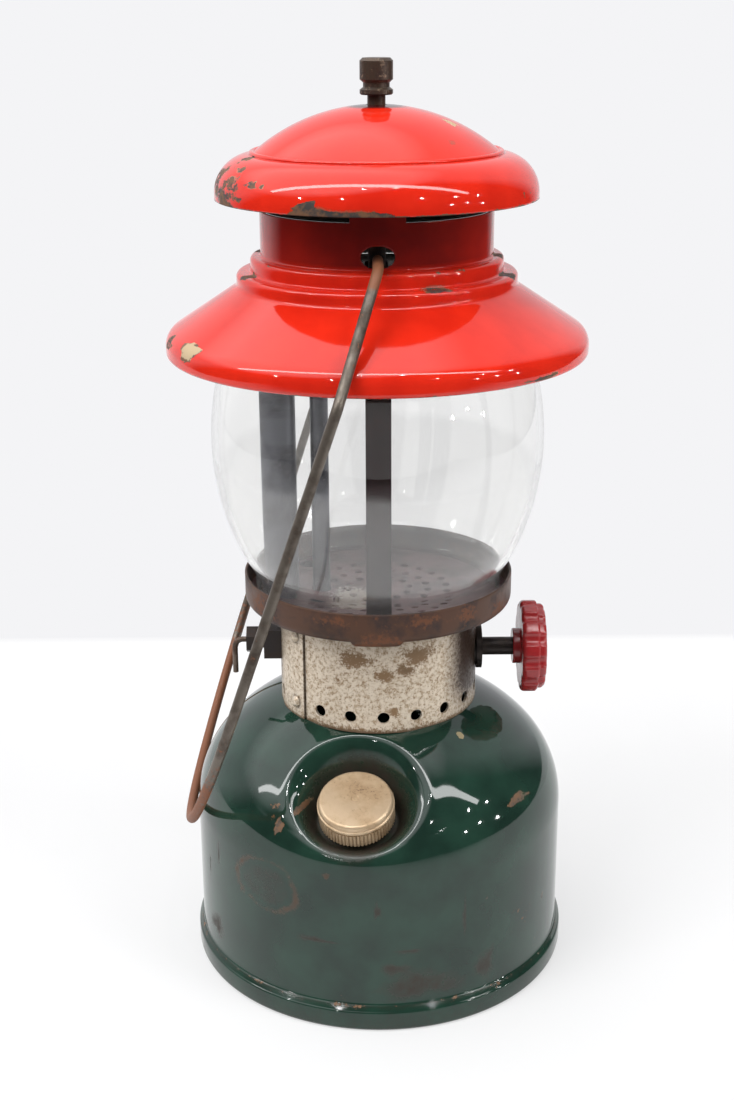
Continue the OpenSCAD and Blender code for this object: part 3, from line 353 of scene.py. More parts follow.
oval = blot(spots, ring_turn, ring_z, 14.5, 10.5, rough=0.25)
turned = np.degrees(np.arctan2(spots[:, 0], -spots[:, 1]))
ring_way = np.arctan2(spots[:, 2] - ring_z, turned - ring_turn)
rust_ring = np.clip(1 - np.abs(oval - 0.08) / 0.22, 0, 1) * (0.8 + 0.2 * np.sin(2 * ring_way + 2.4))
wear(tank,
     chip=np.max([0.43 * groove,
                  0.62 * marks(spots, (-33, 73.2, 2.2, 3.2), (-29, 78, 1.2, 1.6), (50.5, 76.3, 7, 2.2),
                               (36, 43.5, 1, 1), (-69, 71, 1, 1), (61, 32, 0.8, 1.2), (58, 21, 0.7, 0.7)),
                  0.27 * marks(spots, (58, 14, 12, 12), (-36, 78, 14, 8), (48, 30, 16, 22), edge=1.0),
                  marks(spots, (42, 96.6, 1.4, 1.1), rough=0)], axis=0),
     rust=np.max([0.72 * rust_ring, 0.6 * marks(spots, (-16, 60.1, 2.4, 2), (-46, 45, 3, 3),
                                                (33, 46, 1.6, 1.6), (50.5, 76.3, 9, 3), edge=1.5),
                  0.3 * marks(spots, (-33, 79, 9, 9), edge=1.0)], axis=0),
     primer=marks(spots, (42, 96.6, 2.2, 1.8), (58, 14, 14, 14), rough=0),
     grime=np.max([in_dish, low_film, 0.8 * groove, 0.75 * np.clip(2.0 * oval, 0, 0.8),
                   marks(spots, (12, 17, 24, 9), (-1, 47.5, 2.4, 5), (25.3, 42, 1.2, 17), (-59, 50, 1.6, 14),
                         (-66, 42, 1.6, 11), (33, 19, 7, 10), (-62, 20, 10, 8), (4, 24, 9, 4),
                         (-20, 34, 12, 2), (8, 31, 10, 1.6), edge=1.3)], axis=0))
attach(tank, "lantern")
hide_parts("fount_shell")


def dress(look, slot, *names):
    """Gives CAD pieces their finish."""
    for name in names:
        parts[name].data.materials.clear()
        parts[name].data.materials.append(look)


dress(green_enamel, "tank_enamel", "fount_bottom")

# Filler: a brass neck soldered in the front dish, and a nickel-plated screw cap with a knurled skirt, its
# plating worn to a tan. A black rubber seal lies in the cap.


def aged_metal(tree, clean, tarnish, rust, stain_mm, speck_mm, stained, rusted, shine, dull, metal,
               mirror=0.5):
    """Metal with tarnish, rust pits, grime and painted shade, worse where a piece's wear says so."""
    spot = add(tree, "ShaderNodeTexCoord").outputs["Object"]
    stain = noise(tree, spot, stain_mm, 6.0, 0.6)
    speck = noise(tree, spot, speck_mm, 8.0, 0.75)
    cover = ramp(tree, stain, 0.65 - 0.4 * stained, 0.85 - 0.4 * stained)
    mixed = maths(tree, "MULTIPLY_ADD", stain, 0.5, speck)
    zone = add(tree, "ShaderNodeAttribute", attribute_name="rust").outputs["Fac"]
    worst = maths(tree, "MULTIPLY_ADD", zone, 0.45, mixed)
    pits = ramp(tree, worst, 1.0 - 0.4 * rusted, 1.12 - 0.4 * rusted)
    shade = mix(tree, cover, clean, tarnish)
    shade = mix(tree, pits, shade, rust)
    # A dark brown laid on by the layer of grime and painted shade; on the collar it is largely painted shade.
    smudge = add(tree, "ShaderNodeAttribute", attribute_name="dirt").outputs["Fac"]
    smudge = maths(tree, "MULTIPLY", smudge, mixed, use_clamp=True)
    shade = mix(tree, smudge, shade, "#3d3027")
    worn = maths(tree, "MAXIMUM", cover, pits)
    rough = ramp(tree, worn, 0, 1, shine, dull)
    metallic = ramp(tree, pits, 0, 1, metal, 0.1)
    bump = add(tree, "ShaderNodeBump", {"Height": mixed, "Strength": 0.25, "Distance": 0.0001})
    return add(tree, "ShaderNodeBsdfPrincipled",
               {"Base Color": shade, "Metallic": metallic, "Roughness": rough, "Normal": bump,
                "Specular IOR Level": mirror})


def rubber(tree, shade, grain_mm):
    """Dull rubber, leather or soot with a grain."""
    spot = add(tree, "ShaderNodeTexCoord").outputs["Object"]
    grain = noise(tree, spot, grain_mm, 4.0)
    worn = mix(tree, grain, shade, "#4a443d")
    rough = ramp(tree, grain, 0, 1, 0.55, 0.85)
    return add(tree, "ShaderNodeBsdfPrincipled", {"Base Color": worn, "Roughness": rough})


def rounded(*corners, steps=6):
    """An outline through corners of radius, height and bend, each corner turned with its bend."""
    line = []
    for i, (x, y, bend) in enumerate(corners):
        here = np.array((x, y), float)
        if not bend:
            line.append(here)
            continue
        u, v = (np.subtract(corners[k][:2], here) for k in (i - 1, i + 1))
        u, v = u / np.hypot(*u), v / np.hypot(*v)
        half = math.acos(np.clip(u @ v, -1, 1)) / 2
        centre = here + (u + v) / np.hypot(*(u + v)) * bend / math.sin(half)
        first, last = (math.atan2(*(here + w * bend / math.tan(half) - centre)[::-1]) for w in (u, v))
        sweep = (last - first + math.pi) % (2 * math.pi) - math.pi
        line += list(arc(centre, bend, math.degrees(first), math.degrees(first + sweep), steps))
    return np.array(line)


def converted(made, tree, **inputs):
    """Runs a node tree on a piece with the given inputs, keeps the mesh it makes and drops the modifier."""
    step = made.modifiers.new(tree.name, "NODES")
    step.node_group = tree
    for socket in tree.interface.items_tree:
        if socket.in_out == "INPUT" and socket.name in inputs:
            step[socket.identifier] = inputs[socket.name]
    seen = made.evaluated_get(bpy.context.evaluated_depsgraph_get())
    shape = bpy.data.meshes.new_from_object(seen)
    made.modifiers.clear()
    made.data = shape
    return made


def new_tree(name, **sockets):
    """A node tree that takes a mesh and the named inputs and gives a mesh."""
    tree = bpy.data.node_groups.new(name, "GeometryNodeTree")
    tree.interface.new_socket("Mesh", in_out="OUTPUT", socket_type="NodeSocketGeometry")
    tree.interface.new_socket("Mesh", in_out="INPUT", socket_type="NodeSocketGeometry")
    for label, kind in sockets.items():
        tree.interface.new_socket(label, in_out="INPUT", socket_type="NodeSocket" + kind)
    return tree, add(tree, "NodeGroupInput")


knurl, given = new_tree("knurl", Ribs="Int", Ring="Float", Rib="Float", Low="Float", Tall="Float",
                        Look="Material")
rib = add(knurl, "GeometryNodeMeshCylinder",
          {"Vertices": 8, "Radius": given.outputs["Rib"], "Depth": given.outputs["Tall"]})
ring = add(knurl, "GeometryNodeMeshCircle", {"Vertices": given.outputs["Ribs"],
                                             "Radius": given.outputs["Ring"]})
ribs = add(knurl, "GeometryNodeInstanceOnPoints", {"Points": ring, "Instance": rib})
lift = add(knurl, "ShaderNodeCombineXYZ", {"Z": given.outputs["Low"]})
ribs = add(knurl, "GeometryNodeTransform", {"Geometry": ribs, "Translation": lift})
ribs = add(knurl, "GeometryNodeRealizeInstances", {"Geometry": ribs})
whole = add(knurl, "GeometryNodeJoinGeometry", {"Geometry": ribs})
knurl.links.new(given.outputs["Mesh"], whole.inputs["Geometry"])
whole = add(knurl, "GeometryNodeSetMaterial", {"Geometry": whole, "Material": given.outputs["Look"]})
add(knurl, "NodeGroupOutput", {"Mesh": whole})

round_turns = np.arange(0, 360, 3)
worn_nickel = finish("worn_nickel", aged_metal, clean="#c4ac8d", tarnish="#a98f6f", rust="#5b3d22",
                     stain_mm=9, speck_mm=1.0, stained=0.5, rusted=0.36, shine=0.34, dull=0.55, metal=0.45)
brass = finish("brass", aged_metal, clean="#c9a864", tarnish="#7d6136", rust="#4a3a26", stain_mm=8,
               speck_mm=1.5, stained=0.5, rusted=0.35, shine=0.28, dull=0.5, metal=1.0)
cap_r, cap_low, cap_high, cap_bore, cap_ceiling = 13.5, 2.4, 12.4, 10.65, 10.9
cap_line = rounded((0, cap_ceiling, 0), (cap_bore, cap_ceiling, 0), (cap_bore, cap_low, 0),
                   (cap_r - 0.6, cap_low, 0.4),
                   (cap_r - 0.6, 8.6, 0), (cap_r, 8.9, 0.2), (cap_r, 9.7, 0.2), (cap_r - 0.5, 10.0, 0.2),
                   (cap_r - 0.5, cap_high - 0.3, 1.3), (1.5, cap_high, 0.1), (1.1, cap_high - 0.35, 0.1),
                   (0, cap_high - 0.2, 0))
filler_top = converted(piece("filler_top", *spun(cap_line, round_turns), worn_nickel), knurl, Ribs=64,
                       Ring=(cap_r - 0.6) / 1000, Rib=0.0005, Low=0.0055, Tall=0.0052, Look=worn_nickel)
filler_top.data.transform(Matrix.Translation(filler.translation / 1000) @ filler.to_3x3().to_4x4())
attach(filler_top, "filler_cap")
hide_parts("filler_cap")
dress(brass, "brass", "filler_neck")
dress(finish("seal_rubber", rubber, shade="#1d1a18", grain_mm=0.8), "seal_rubber", "filler_seal")

# Pump and pick-up: a brass barrel in the rear dish with a nickel end cap on three screws, a hollow rod and
# knob that slide and turn on the stem, and a leather cup. A brass bush and tube lead the fuel up.
dress(brass, "brass", "fount_bush", "pickup_tube", "pump_barrel", "check_valve", "air_stem", "leather_washer")
dress(worn_nickel, "nickel", "pump_cap", "pump_cap_screws", "pump_rod", "pump_knob")
dress(finish("pump_leather", rubber, shade="#5d3f26", grain_mm=1.2), "pump_leather", "pump_leather")

# Collar: a strip of plated steel rolled round, lapped and held by two rivets, with a row of punched air holes
# and cut-outs for the valve and the lever's block. The plating has gone to a grey beige, speckled with brown.
pierced, given = new_tree("pierced", Places="Int", First="Float", Bore="Float", Height="Float", Ring="Float",
                          Valve="Float", ValveHeight="Float", Block="Float", BlockHeight="Float",
                          Look="Material")
ring = add(pierced, "GeometryNodeMeshCircle", {"Vertices": given.outputs["Places"],
                                               "Radius": given.outputs["Ring"]})
place = add(pierced, "GeometryNodeInputPosition")
outward = add(pierced, "FunctionNodeAlignRotationToVector", {"Vector": place}, axis="Z")
holed = add(pierced, "FunctionNodeCompare", {"A": add(pierced, "GeometryNodeInputIndex"), "B": 0},
            data_type="INT", operation="GREATER_THAN")
punch = add(pierced, "GeometryNodeMeshCylinder",
            {"Vertices": 20, "Radius": given.outputs["Bore"], "Depth": 0.008})
punches = add(pierced, "GeometryNodeInstanceOnPoints",
              {"Points": ring, "Selection": holed, "Instance": punch, "Rotation": outward})
lift = add(pierced, "ShaderNodeCombineXYZ", {"Z": given.outputs["Height"]})
round_to = add(pierced, "ShaderNodeCombineXYZ", {"Z": given.outputs["First"]})
punches = add(pierced, "GeometryNodeTransform",
              {"Geometry": punches, "Translation": lift, "Rotation": round_to})
punches = add(pierced, "GeometryNodeRealizeInstances", {"Geometry": punches})
bore = add(pierced, "GeometryNodeMeshCylinder",
           {"Vertices": 40, "Radius": given.outputs["Valve"], "Depth": 0.012})
lift = add(pierced, "ShaderNodeCombineXYZ", {"X": given.outputs["Ring"], "Z": given.outputs["ValveHeight"]})
bore = add(pierced, "GeometryNodeTransform", {"Geometry": bore, "Translation": lift,
                                              "Rotation": (0, math.pi / 2, 0)})
side = add(pierced, "ShaderNodeCombineXYZ", {"X": 0.012, "Y": given.outputs["Block"],
                                             "Z": given.outputs["Block"]})
slot = add(pierced, "GeometryNodeMeshCube", {"Size": side})
across = maths(pierced, "MULTIPLY", given.outputs["Ring"], -1.0)
lift = add(pierced, "ShaderNodeCombineXYZ", {"X": across, "Z": given.outputs["BlockHeight"]})
slot = add(pierced, "GeometryNodeTransform", {"Geometry": slot, "Translation": lift})
tools = add(pierced, "GeometryNodeJoinGeometry", {"Geometry": punches})
for tool in (bore, slot):
    pierced.links.new(tool.outputs["Geometry"], tools.inputs["Geometry"])
strip = add(pierced, "GeometryNodeMeshBoolean", {"Mesh 1": given.outputs["Mesh"], "Mesh 2": tools},
            operation="DIFFERENCE", solver="EXACT")
strip = add(pierced, "GeometryNodeRealizeInstances", {"Geometry": strip})
strip = add(pierced, "GeometryNodeSetMaterial", {"Geometry": strip, "Material": given.outputs["Look"]})
add(pierced, "NodeGroupOutput", {"Mesh": strip})

collar_plate = finish("collar_plate", aged_metal, clean="#d8cbb8", tarnish="#bca88e", rust="#85694a",
                      stain_mm=1.3, speck_mm=0.55, stained=0.52, rusted=0.56, shine=0.34, dull=0.6, metal=0.5)
collar_r, collar_low, collar_top, collar_t = 35.9, 99.4, 136.2, 0.9
seam, gap_turn, gap_t, lap_t, places, row_z, air_r = -47.4, 1, 0.55, 0.5, 19, 105.3, 2.15
rivet_turn, rivet_r, rivet_high = -54.4, 2.1, 130.6
strip_line = spaced([(collar_r, collar_low), (collar_r, collar_top), (collar_r - collar_t, collar_top),
                     (collar_r - collar_t, collar_low), (collar_r, collar_low)], 1.5)
strip_turns = np.sort(np.concatenate([np.arange(-180, 180, 1.5),
                                      seam + np.array((-0.05, 0.05, gap_turn - 0.05, gap_turn + 0.05))]))
points, faces = spun(strip_line, strip_turns)
turned = np.degrees(np.arctan2(points[:, 0], -points[:, 1]))
lapped = np.where(turned < seam, np.clip((turned - seam + 30) / 8, 0, 1), 0) * lap_t
lapped -= gap_t * ((turned > seam) & (turned < seam + gap_turn))
outside = np.hypot(points[:, 0], points[:, 1]) > collar_r - 0.1
points[:, :2] *= np.where(outside, 1 + lapped / collar_r, 1)[:, None]
collar = converted(piece("collar_strip", points, faces, collar_plate), pierced, Places=places,
                   First=math.radians(rivet_turn - 90), Bore=air_r / 1000, Height=row_z / 1000,
                   Ring=collar_r / 1000,
                   Valve=0.0084, ValveHeight=0.11755, Block=0.0118, BlockHeight=0.12075, Look=collar_plate)
collar.data.set_sharp_from_angle(angle=math.radians(40))
spots = spots_of(collar)
turned = np.degrees(np.arctan2(spots[:, 0], -spots[:, 1]))
# Painted shade: the strip darkens towards its right side and round its back, more so higher up, and towards
# its top under the gallery bowl; the dark line along the seam is painted shade of the gap and grime. The same
# layer holds real grime at the foot and round the rivets.
shaded = np.clip((turned - 38) / 24, 0, 1) + np.clip((-turned - 72) / 20, 0, 1)
wear(collar,
     rust=np.maximum(0.6 * np.clip(1 - (spots[:, 2] - collar_low) / 2, 0, 1),
                     0.62 * marks(spots, (3, 121.5, 5, 2.4), (15.5, 122.8, 4, 2), (13, 124.6, 1.6, 1.4),
                                  (-24, 119, 1, 1), (8, 107.5, 2.4, 2), (-14, 127, 7, 4), (22, 128, 7, 4),
                                  edge=1.4)),
     dirt=np.max([2.0 * shaded * np.clip((spots[:, 2] - 100) / 12, 0.25, 1),
                  1.6 * np.clip(1 - np.abs(turned - seam - 0.5) / 0.9, 0, 1),
                  0.5 * np.clip((spots[:, 2] - 127) / 8, 0, 1),
                  0.9 * np.clip(1 - (spots[:, 2] - collar_low) / 1.6, 0, 1),
                  1.2 * marks(spots, (rivet_turn, row_z, 3.1, 3.1), (rivet_turn, rivet_high, 3.1, 3.1),
                              rough=0),
                  0.4 * marks(spots, (16, 122.6, 3, 1.4), (13, 124.8, 1.4, 1.1), edge=1.4)], axis=0))
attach(collar, "lantern")
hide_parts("collar")

head = rounded((rivet_r, -1.2, 0), (rivet_r, 0.45, 0.3), (rivet_r * 0.55, 1.2, 0.8), (0, 1.3, 0))
points, faces = spun(head, np.arange(0, 360, 15))
rivet_points, rivet_faces = [], []
for height in (row_z, rivet_high):
    stand = (Matrix.Rotation(math.radians(rivet_turn - 90), 4, "Z")
             @ Matrix.Translation((collar_r + lap_t, 0, height)) @ Matrix.Rotation(math.pi / 2, 4, "Y"))
    rivet_faces.append(faces + len(points) * len(rivet_points))
    rivet_points.append(points @ np.array(stand)[:3, :3].T + np.array(stand)[:3, 3])
rivets = piece("lap_rivets", np.concatenate(rivet_points), np.concatenate(rivet_faces), collar_plate)
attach(rivets, "lantern")
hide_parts("collar_rivets")

# Gallery and burner frame: the pressed bowl that holds the globe, its pierced floor and the riveted strap
# arch, all mild steel burnt by years of heat to brown and blue black. A pale crust lies by the front strap.


def crusted(tree, clean, tarnish, crust, middle, reach):
    """Burnt steel with pale flecks round one spot."""
    spot = add(tree, "ShaderNodeTexCoord").outputs["Object"]
    stain = noise(tree, spot, 11, 6.0, 0.6)
    speck = noise(tree, spot, 1.5, 8.0, 0.75)
    away = add(tree, "ShaderNodeVectorMath", {0: spot, 1: middle}, operation="DISTANCE").outputs["Value"]
    near = ramp(tree, away, 0, reach, 0.42, -0.08)
    flecks = maths(tree, "ADD", near, speck)
    flecks = ramp(tree, flecks, 0.62, 0.74)
    cover = ramp(tree, stain, 0.4, 0.62)
    shade = mix(tree, cover, clean, tarnish)
    shade = mix(tree, flecks, shade, crust)
    rough = ramp(tree, flecks, 0, 1, 0.45, 0.85)
    bump = add(tree, "ShaderNodeBump", {"Height": speck, "Strength": 0.3, "Distance": 0.0001})
    return add(tree, "ShaderNodeBsdfPrincipled",
               {"Base Color": shade, "Metallic": 0.25, "Roughness": rough, "Normal": bump})


burnt_steel = finish("burnt_steel", aged_metal, clean="#52392c", tarnish="#332d2d", rust="#68422d",
                     stain_mm=11,
                     speck_mm=1.8, stained=0.5, rusted=0.4, shine=0.42, dull=0.6, metal=0.15, mirror=0.3)
sooty_steel = finish("sooty_steel", aged_metal, clean="#241515", tarnish="#2d1c1d", rust="#432b26",
                     stain_mm=9,
                     speck_mm=1.2, stained=0.5, rusted=0.42, shine=0.5, dull=0.7, metal=0.0, mirror=0.15)
scaled_steel = finish("scaled_steel", crusted, clean="#7d5e5f", tarnish="#5c4445", crust="#cabfb5",
                      middle=(-0.009, -0.007, 0.1408), reach=0.015)
rim_r, rim_top, rim_low, rim_t = 48.2, 148.95, 138.6, 1.0
tab_turn, tab_half, tab_drop, tab_top = -1, 10.6, 1.4, 143.5
bowl_line = rounded((collar_r - 0.8, collar_top - 0.2, 0), (rim_r - 12, collar_top - 0.2, 0),
                    (rim_r, rim_low, 2.6),
                    (rim_r, rim_top, 0.4), (rim_r - rim_t, rim_top, 0.4), (rim_r - rim_t, rim_low + 1, 1.6),
                    (rim_r - 12, collar_top + 0.8, 0), (collar_r - 0.8, collar_top + 0.8, 0),
                    (collar_r - 0.8, collar_top - 0.2, 0))
points, faces = spun(spaced(bowl_line, 1.5), np.arange(-180, 180, 1))
turned = np.degrees(np.arctan2(points[:, 0], -points[:, 1]))
tab = np.clip((tab_half - np.abs(turned - tab_turn)) / 0.8, 0, 1)
tab *= np.hypot(points[:, 0], points[:, 1]) > rim_r - 6.2
points[:, 2] -= tab_drop * tab * np.clip((tab_top - points[:, 2]) / 3, 0, 1)
bowl = piece("gallery_ring", points, faces, burnt_steel)
spots = spots_of(bowl)
wear(bowl,
     rust=np.max([0.42 * marks(spots, (-1, 139, 11, 4), edge=2.5),
                  0.4 * marks(spots, (-62, 144, 14, 6), (38, 145, 10, 4), (62, 142, 12, 5), (18, 146, 9, 3),
                              (-18, 146, 10, 3), (130, 144, 20, 6), (-140, 144, 16, 6), edge=1.2)], axis=0),
     dirt=0.6 * marks(spots, (-24, 141, 9, 5), (18, 140, 7, 3), (-10, 140.5, 5, 2.5), (38, 140, 9, 3),
                      edge=1.0))
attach(bowl, "lantern")
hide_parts("gallery_bowl")
dress(burnt_steel, "burnt_steel", "frame_rivets", "frame_stud")
dress(sooty_steel, "burnt_steel", "burner_frame")
dress(scaled_steel, "burnt_steel", "gallery_floor")

# Valve and cleaning gear: blackened brass body, packing nut, eccentric block and gland, with a bent steel
# wire for the lever and a needle inside.
black_brass = finish("black_brass", aged_metal, clean="#2a2422", tarnish="#3a302b", rust="#4a3626",
                     stain_mm=6, speck_mm=1.2, stained=0.5, rusted=0.3, shine=0.35, dull=0.6, metal=0.4)
lever_steel = finish("lever_steel", aged_metal, clean="#6a5d53", tarnish="#4d3f37", rust="#6b4630",
                     stain_mm=7, speck_mm=1.2, stained=0.55, rusted=0.45, shine=0.35, dull=0.6, metal=0.6)
dress(brass, "brass", "valve_body")
dress(black_brass, "black_fittings", "packing_nut", "valve_stem", "eccentric_block", "lever_gland",
      "knob_screw")
dress(lever_steel, "wire_steel", "cleaning_lever", "cleaning_needle")

# Control knob: a moulded disc on the valve's stem, lobed round the edge for the fingers, with a short hub and
# a stepped outer face. Dark red, a little dulled by handling.


def moulded_red(tree, bright, deep):
    """Moulded plastic, slightly clouded."""
    spot = add(tree, "ShaderNodeTexCoord").outputs["Object"]
    cloud = noise(tree, spot, 7, 5.0)
    shade = mix(tree, cloud, bright, deep)
    rough = ramp(tree, cloud, 0, 1, 0.12, 0.34)
    bump = add(tree, "ShaderNodeBump", {"Height": cloud, "Strength": 0.1, "Distance": 0.0002})
    return add(tree, "ShaderNodeBsdfPrincipled",
               {"Base Color": shade, "Roughness": rough, "IOR": 1.55, "Normal": bump})


knob_r, knob_x, hub_r, hub_x, stem_z, lobes = 16.8, 52.0, 6.5, 49.3, 117.55, 12
bite_r = knob_r * 0.17
bite_at = knob_r + bite_r * 0.55
knob_turns = np.arange(0, 360, 1.25)
off = np.radians((knob_turns + 180 / lobes) % (360 / lobes) - 180 / lobes)
reach = bite_r ** 2 - (bite_at * np.sin(off)) ** 2
bite = np.where(reach > 0, bite_at * np.cos(off) - np.sqrt(np.maximum(reach, 0)), knob_r)
scallop = np.minimum(1, bite / knob_r)
knob_line = rounded((3.3, 0.2, 0), (hub_r, 0, 0.4), (hub_r, knob_x - hub_x, 0.3),
                    (knob_r, knob_x - hub_x, 1.6),
                    (knob_r, 8.7, 0.7), (knob_r - 1.2, 8.9, 0.3), (knob_r - 1.2, 11.5, 1.4),
                    (knob_r * 0.62, 11.5, 0.4), (knob_r * 0.6, 10.3, 0.3), (1.4, 10.3, 0), steps=5)
points, faces = spun(knob_line, knob_turns)
lobed = np.clip((knob_line[:, 0] / knob_r - 0.66) / 0.3, 0, 1)
points[:, :2] *= (1 + np.outer(scallop - 1, lobed)).reshape(-1, 1)
knob = piece("knob", points, faces, finish("knob_red", moulded_red, bright="#ad2b2c", deep="#862225"))
knob.data.transform(Matrix.Translation((hub_x / 1000, 0, stem_z / 1000))
                    @ Matrix.Rotation(math.pi / 2, 4, "Y"))
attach(knob, "control_valve")
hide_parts("control_knob")

# Burner: the generator and the air tube rise from the gallery to the pipe under the hood, which carries the
# outlet and its screen. Steel, blued and greyed by heat.
blue_steel = finish("blue_steel", aged_metal, clean="#62636a", tarnish="#3d3c41", rust="#838183", stain_mm=16,
                    speck_mm=1.2, stained=0.5, rusted=0.36, shine=0.34, dull=0.55, metal=0.55)
dress(blue_steel, "blue_steel", "generator", "generator_nut", "air_tube", "burner_pipe", "burner_outlet",
      "burner_screen")

# Globe: blown heat-proof glass, bulged between two straight ends and standing in the gallery. Wiped but not
# spotless, with a thin milky film over its lower half, partly dust and partly a painted reflection of the
# table.


def clear_glass(tree, tint, haze, film, film_top):
    """Glass with faint smears, and a thin milky film up to a height: partly dust, partly a painted
    reflection.
    """
    spot = add(tree, "ShaderNodeTexCoord").outputs["Object"]
    smear = noise(tree, spot, 22, 6.0, 0.6)
    rough = ramp(tree, smear, 0.4, 0.8, 0, haze)
    place = add(tree, "ShaderNodeSeparateXYZ", {"Vector": spot})
    height = maths(tree, "MULTIPLY_ADD", smear, 0.01, place.outputs["Z"])
    # Below the film's top the glass lets less light through and shows white: dust and a painted reflection of
    # the table.
    clear = ramp(tree, height, film_top - 0.004, film_top, 1.0 - film, 1.0)
    return add(tree, "ShaderNodeBsdfPrincipled",
               {"Base Color": linear(tint), "Roughness": rough, "IOR": 1.47, "Transmission Weight": clear})


globe_z, globe_h, globe_r, globe_end_r, bulge_r, sweep_r, glass_t = 140.75, 115.0, 58.4, 44.3, 92.0, 10.0, 2.2
globe_mid = globe_z + globe_h / 2
bulge_c = np.array((globe_r - bulge_r, globe_mid))
sweep_c = np.array((globe_end_r + sweep_r, 0))
sweep_c[1] = globe_mid - math.sqrt((bulge_r + sweep_r) ** 2 - (sweep_c[0] - bulge_c[0]) ** 2)
lean = math.degrees(math.atan2(globe_mid - sweep_c[1], sweep_c[0] - bulge_c[0]))


def glass_wall(inset):
    """One face of the globe from its foot to its top."""
    low = np.concatenate([[(globe_end_r - inset, globe_z + 0.6)],
                          arc(sweep_c, sweep_r + inset, 180, 180 - lean, 10),
                          arc(bulge_c, bulge_r - inset, -lean, 0, 30)])
    return np.concatenate([low, (low * (1, -1) + (0, 2 * globe_mid))[::-1][1:]])


outer, inner = glass_wall(0), glass_wall(glass_t)[::-1]
lip_low = np.array([(globe_end_r - glass_t + 0.5, globe_z), (globe_end_r - 0.5, globe_z)])
lip_high = (lip_low * (1, -1) + (0, 2 * globe_mid))[::-1]
glass_line = np.concatenate([outer, lip_high, inner, lip_low, outer[:1]])
globe = piece("glass", *spun(glass_line, np.arange(0, 360, 2)),
              finish("clear_glass", clear_glass, tint="#fdfdfc", haze=0.05, film=0.075, film_top=0.199))
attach(globe, "lantern")
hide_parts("globe")

# Hood: spun from one sheet, with two rings and a brim over the globe and four legs cut in its neck for the
# cap. Bright red stove enamel, burnt dark round the neck, and painted shade there under the cap.
# Its darkest colour serves both for the heat-burnt neck and for painted shade under the cap.
red_enamel = finish("red_enamel", enamel, bright="#df2b17", deep="#cf2413", ground="#b9a27e", bare="#34302e",
                    rusty="#6e4c31", stain="#7a4a30", soil="#4a2018", soot="#3d0e0f")
sooted_sheet = finish("sooted_sheet", rubber, shade="#241614", grain_mm=6)
brim_r, brim_z, brim_top, ring_low_r, ring_high_r, neck_r = 72.5, 228.55, 235.77, 47.8, 43.0, 39.5
ring_low_z, ring_mid_z, ring_high_z, neck_top, leg_top = 252.05, 256.65, 262.05, 277.25, 294.28
sheet_t, leg_half, hole_wide, hole_tall, hole_z = 0.9, 13.0, 5.5, 3.6, 266.5
hood_line = np.concatenate([
    spaced(rounded((brim_r - 2.4, brim_z, 0), (brim_r, brim_z + 0.7, 1.6), (brim_r, brim_top, 6),
                   (ring_low_r, ring_low_z, 2), (ring_low_r, ring_mid_z, 1.6), (ring_high_r, ring_mid_z, 0.8),
                   (ring_high_r, ring_high_z, 1.6), (neck_r, ring_high_z, 0.8),
                   (neck_r, ring_high_z + 1.2, 0)), 1.2),
    spaced([(neck_r, ring_high_z + 1.6), (neck_r, neck_top)], 0.4),
    spaced([(neck_r, neck_top + 0.8), (neck_r, leg_top)], 1.2)])
quarter = np.concatenate([np.arange(0, leg_half, 0.5), np.arange(leg_half, 90 - leg_half, 1.0),
                          np.arange(90 - leg_half, 90, 0.5)])
hood_turns = np.concatenate([quarter + a for a in (0, 90, 180, 270)])
points, faces = spun(hood_line, hood_turns)
away = np.hypot(points[:, 0] / hole_wide, (points[:, 2] - hole_z) / hole_tall)
near = (np.abs(away - 1) < 0.055) & (np.abs(points[:, 1]) > 30)
points[near, 0] /= away[near]
points[near, 2] = hole_z + (points[near, 2] - hole_z) / away[near]
middle = points[faces].mean(1)
turned = np.degrees(np.arctan2(middle[:, 0], -middle[:, 1])) % 90
gap = (middle[:, 2] > neck_top) & (turned > leg_half) & (turned < 90 - leg_half)
hook = np.hypot(middle[:, 0] / hole_wide, (middle[:, 2] - hole_z) / hole_tall) < 1
hook &= np.abs(middle[:, 1]) > 30
hood = piece("hood", points, faces[~gap & ~hook], red_enamel)
spots = spots_of(hood)
turned = np.degrees(np.arctan2(spots[:, 0], -spots[:, 1]))
on_neck = np.clip((spots[:, 2] - ring_high_z + 1) / 3, 0, 1)
low_edge = np.clip(1 - (spots[:, 2] - brim_z) / 1.3, 0, 1) * 0.62
along = np.hypot(spots[:, 0], spots[:, 1])
ring_edges = 0.46 * np.clip(1 - np.hypot(along - ring_high_r, spots[:, 2] - ring_high_z) / 1.6, 0, 1)
# Round the neck the darkening is heat staining and painted shade under the cap, darkest at the front and
# lighter round the sides.
wear(hood,
     chip=np.max([low_edge, ring_edges, 0.85 * marks(spots, (-59.5, 236, 6.5, 3.2), edge=4),
                  0.62 * marks(spots, (-76, 235, 6, 3), (-71, 256.6, 4, 1.2), (-98, 262, 4, 1.2),
                               (72.5, 256.4, 5, 1.4), (81, 262, 5, 1.2), (24, 256.5, 6, 0.7),
                               (46.5, 230, 10, 0.9)),
                  0.3 * marks(spots, (-66, 258, 9, 5), (66, 258, 9, 5), (-40, 231, 30, 2), (40, 231, 30, 2),
                              edge=1)],
                 axis=0),
     primer=marks(spots, (-59.5, 236.2, 5.2, 2.4), edge=4),
     rust=0.55 * marks(spots, (-59.5, 236, 8, 4.2), (24, 257, 8, 1.6), edge=1.6),
     burn=on_neck * np.clip(0.5 + 0.3 * np.cos(np.radians(1.6 * np.clip(turned - 4, -110, 110))), 0, 1))
sheet = hood.modifiers.new("sheet", "SOLIDIFY")
sheet.thickness = sheet_t / 1000
sheet.offset = -1
hood.data.materials.append(sooted_sheet)
sheet.material_offset = 1
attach(hood, "lantern")
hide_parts("vent_hood")

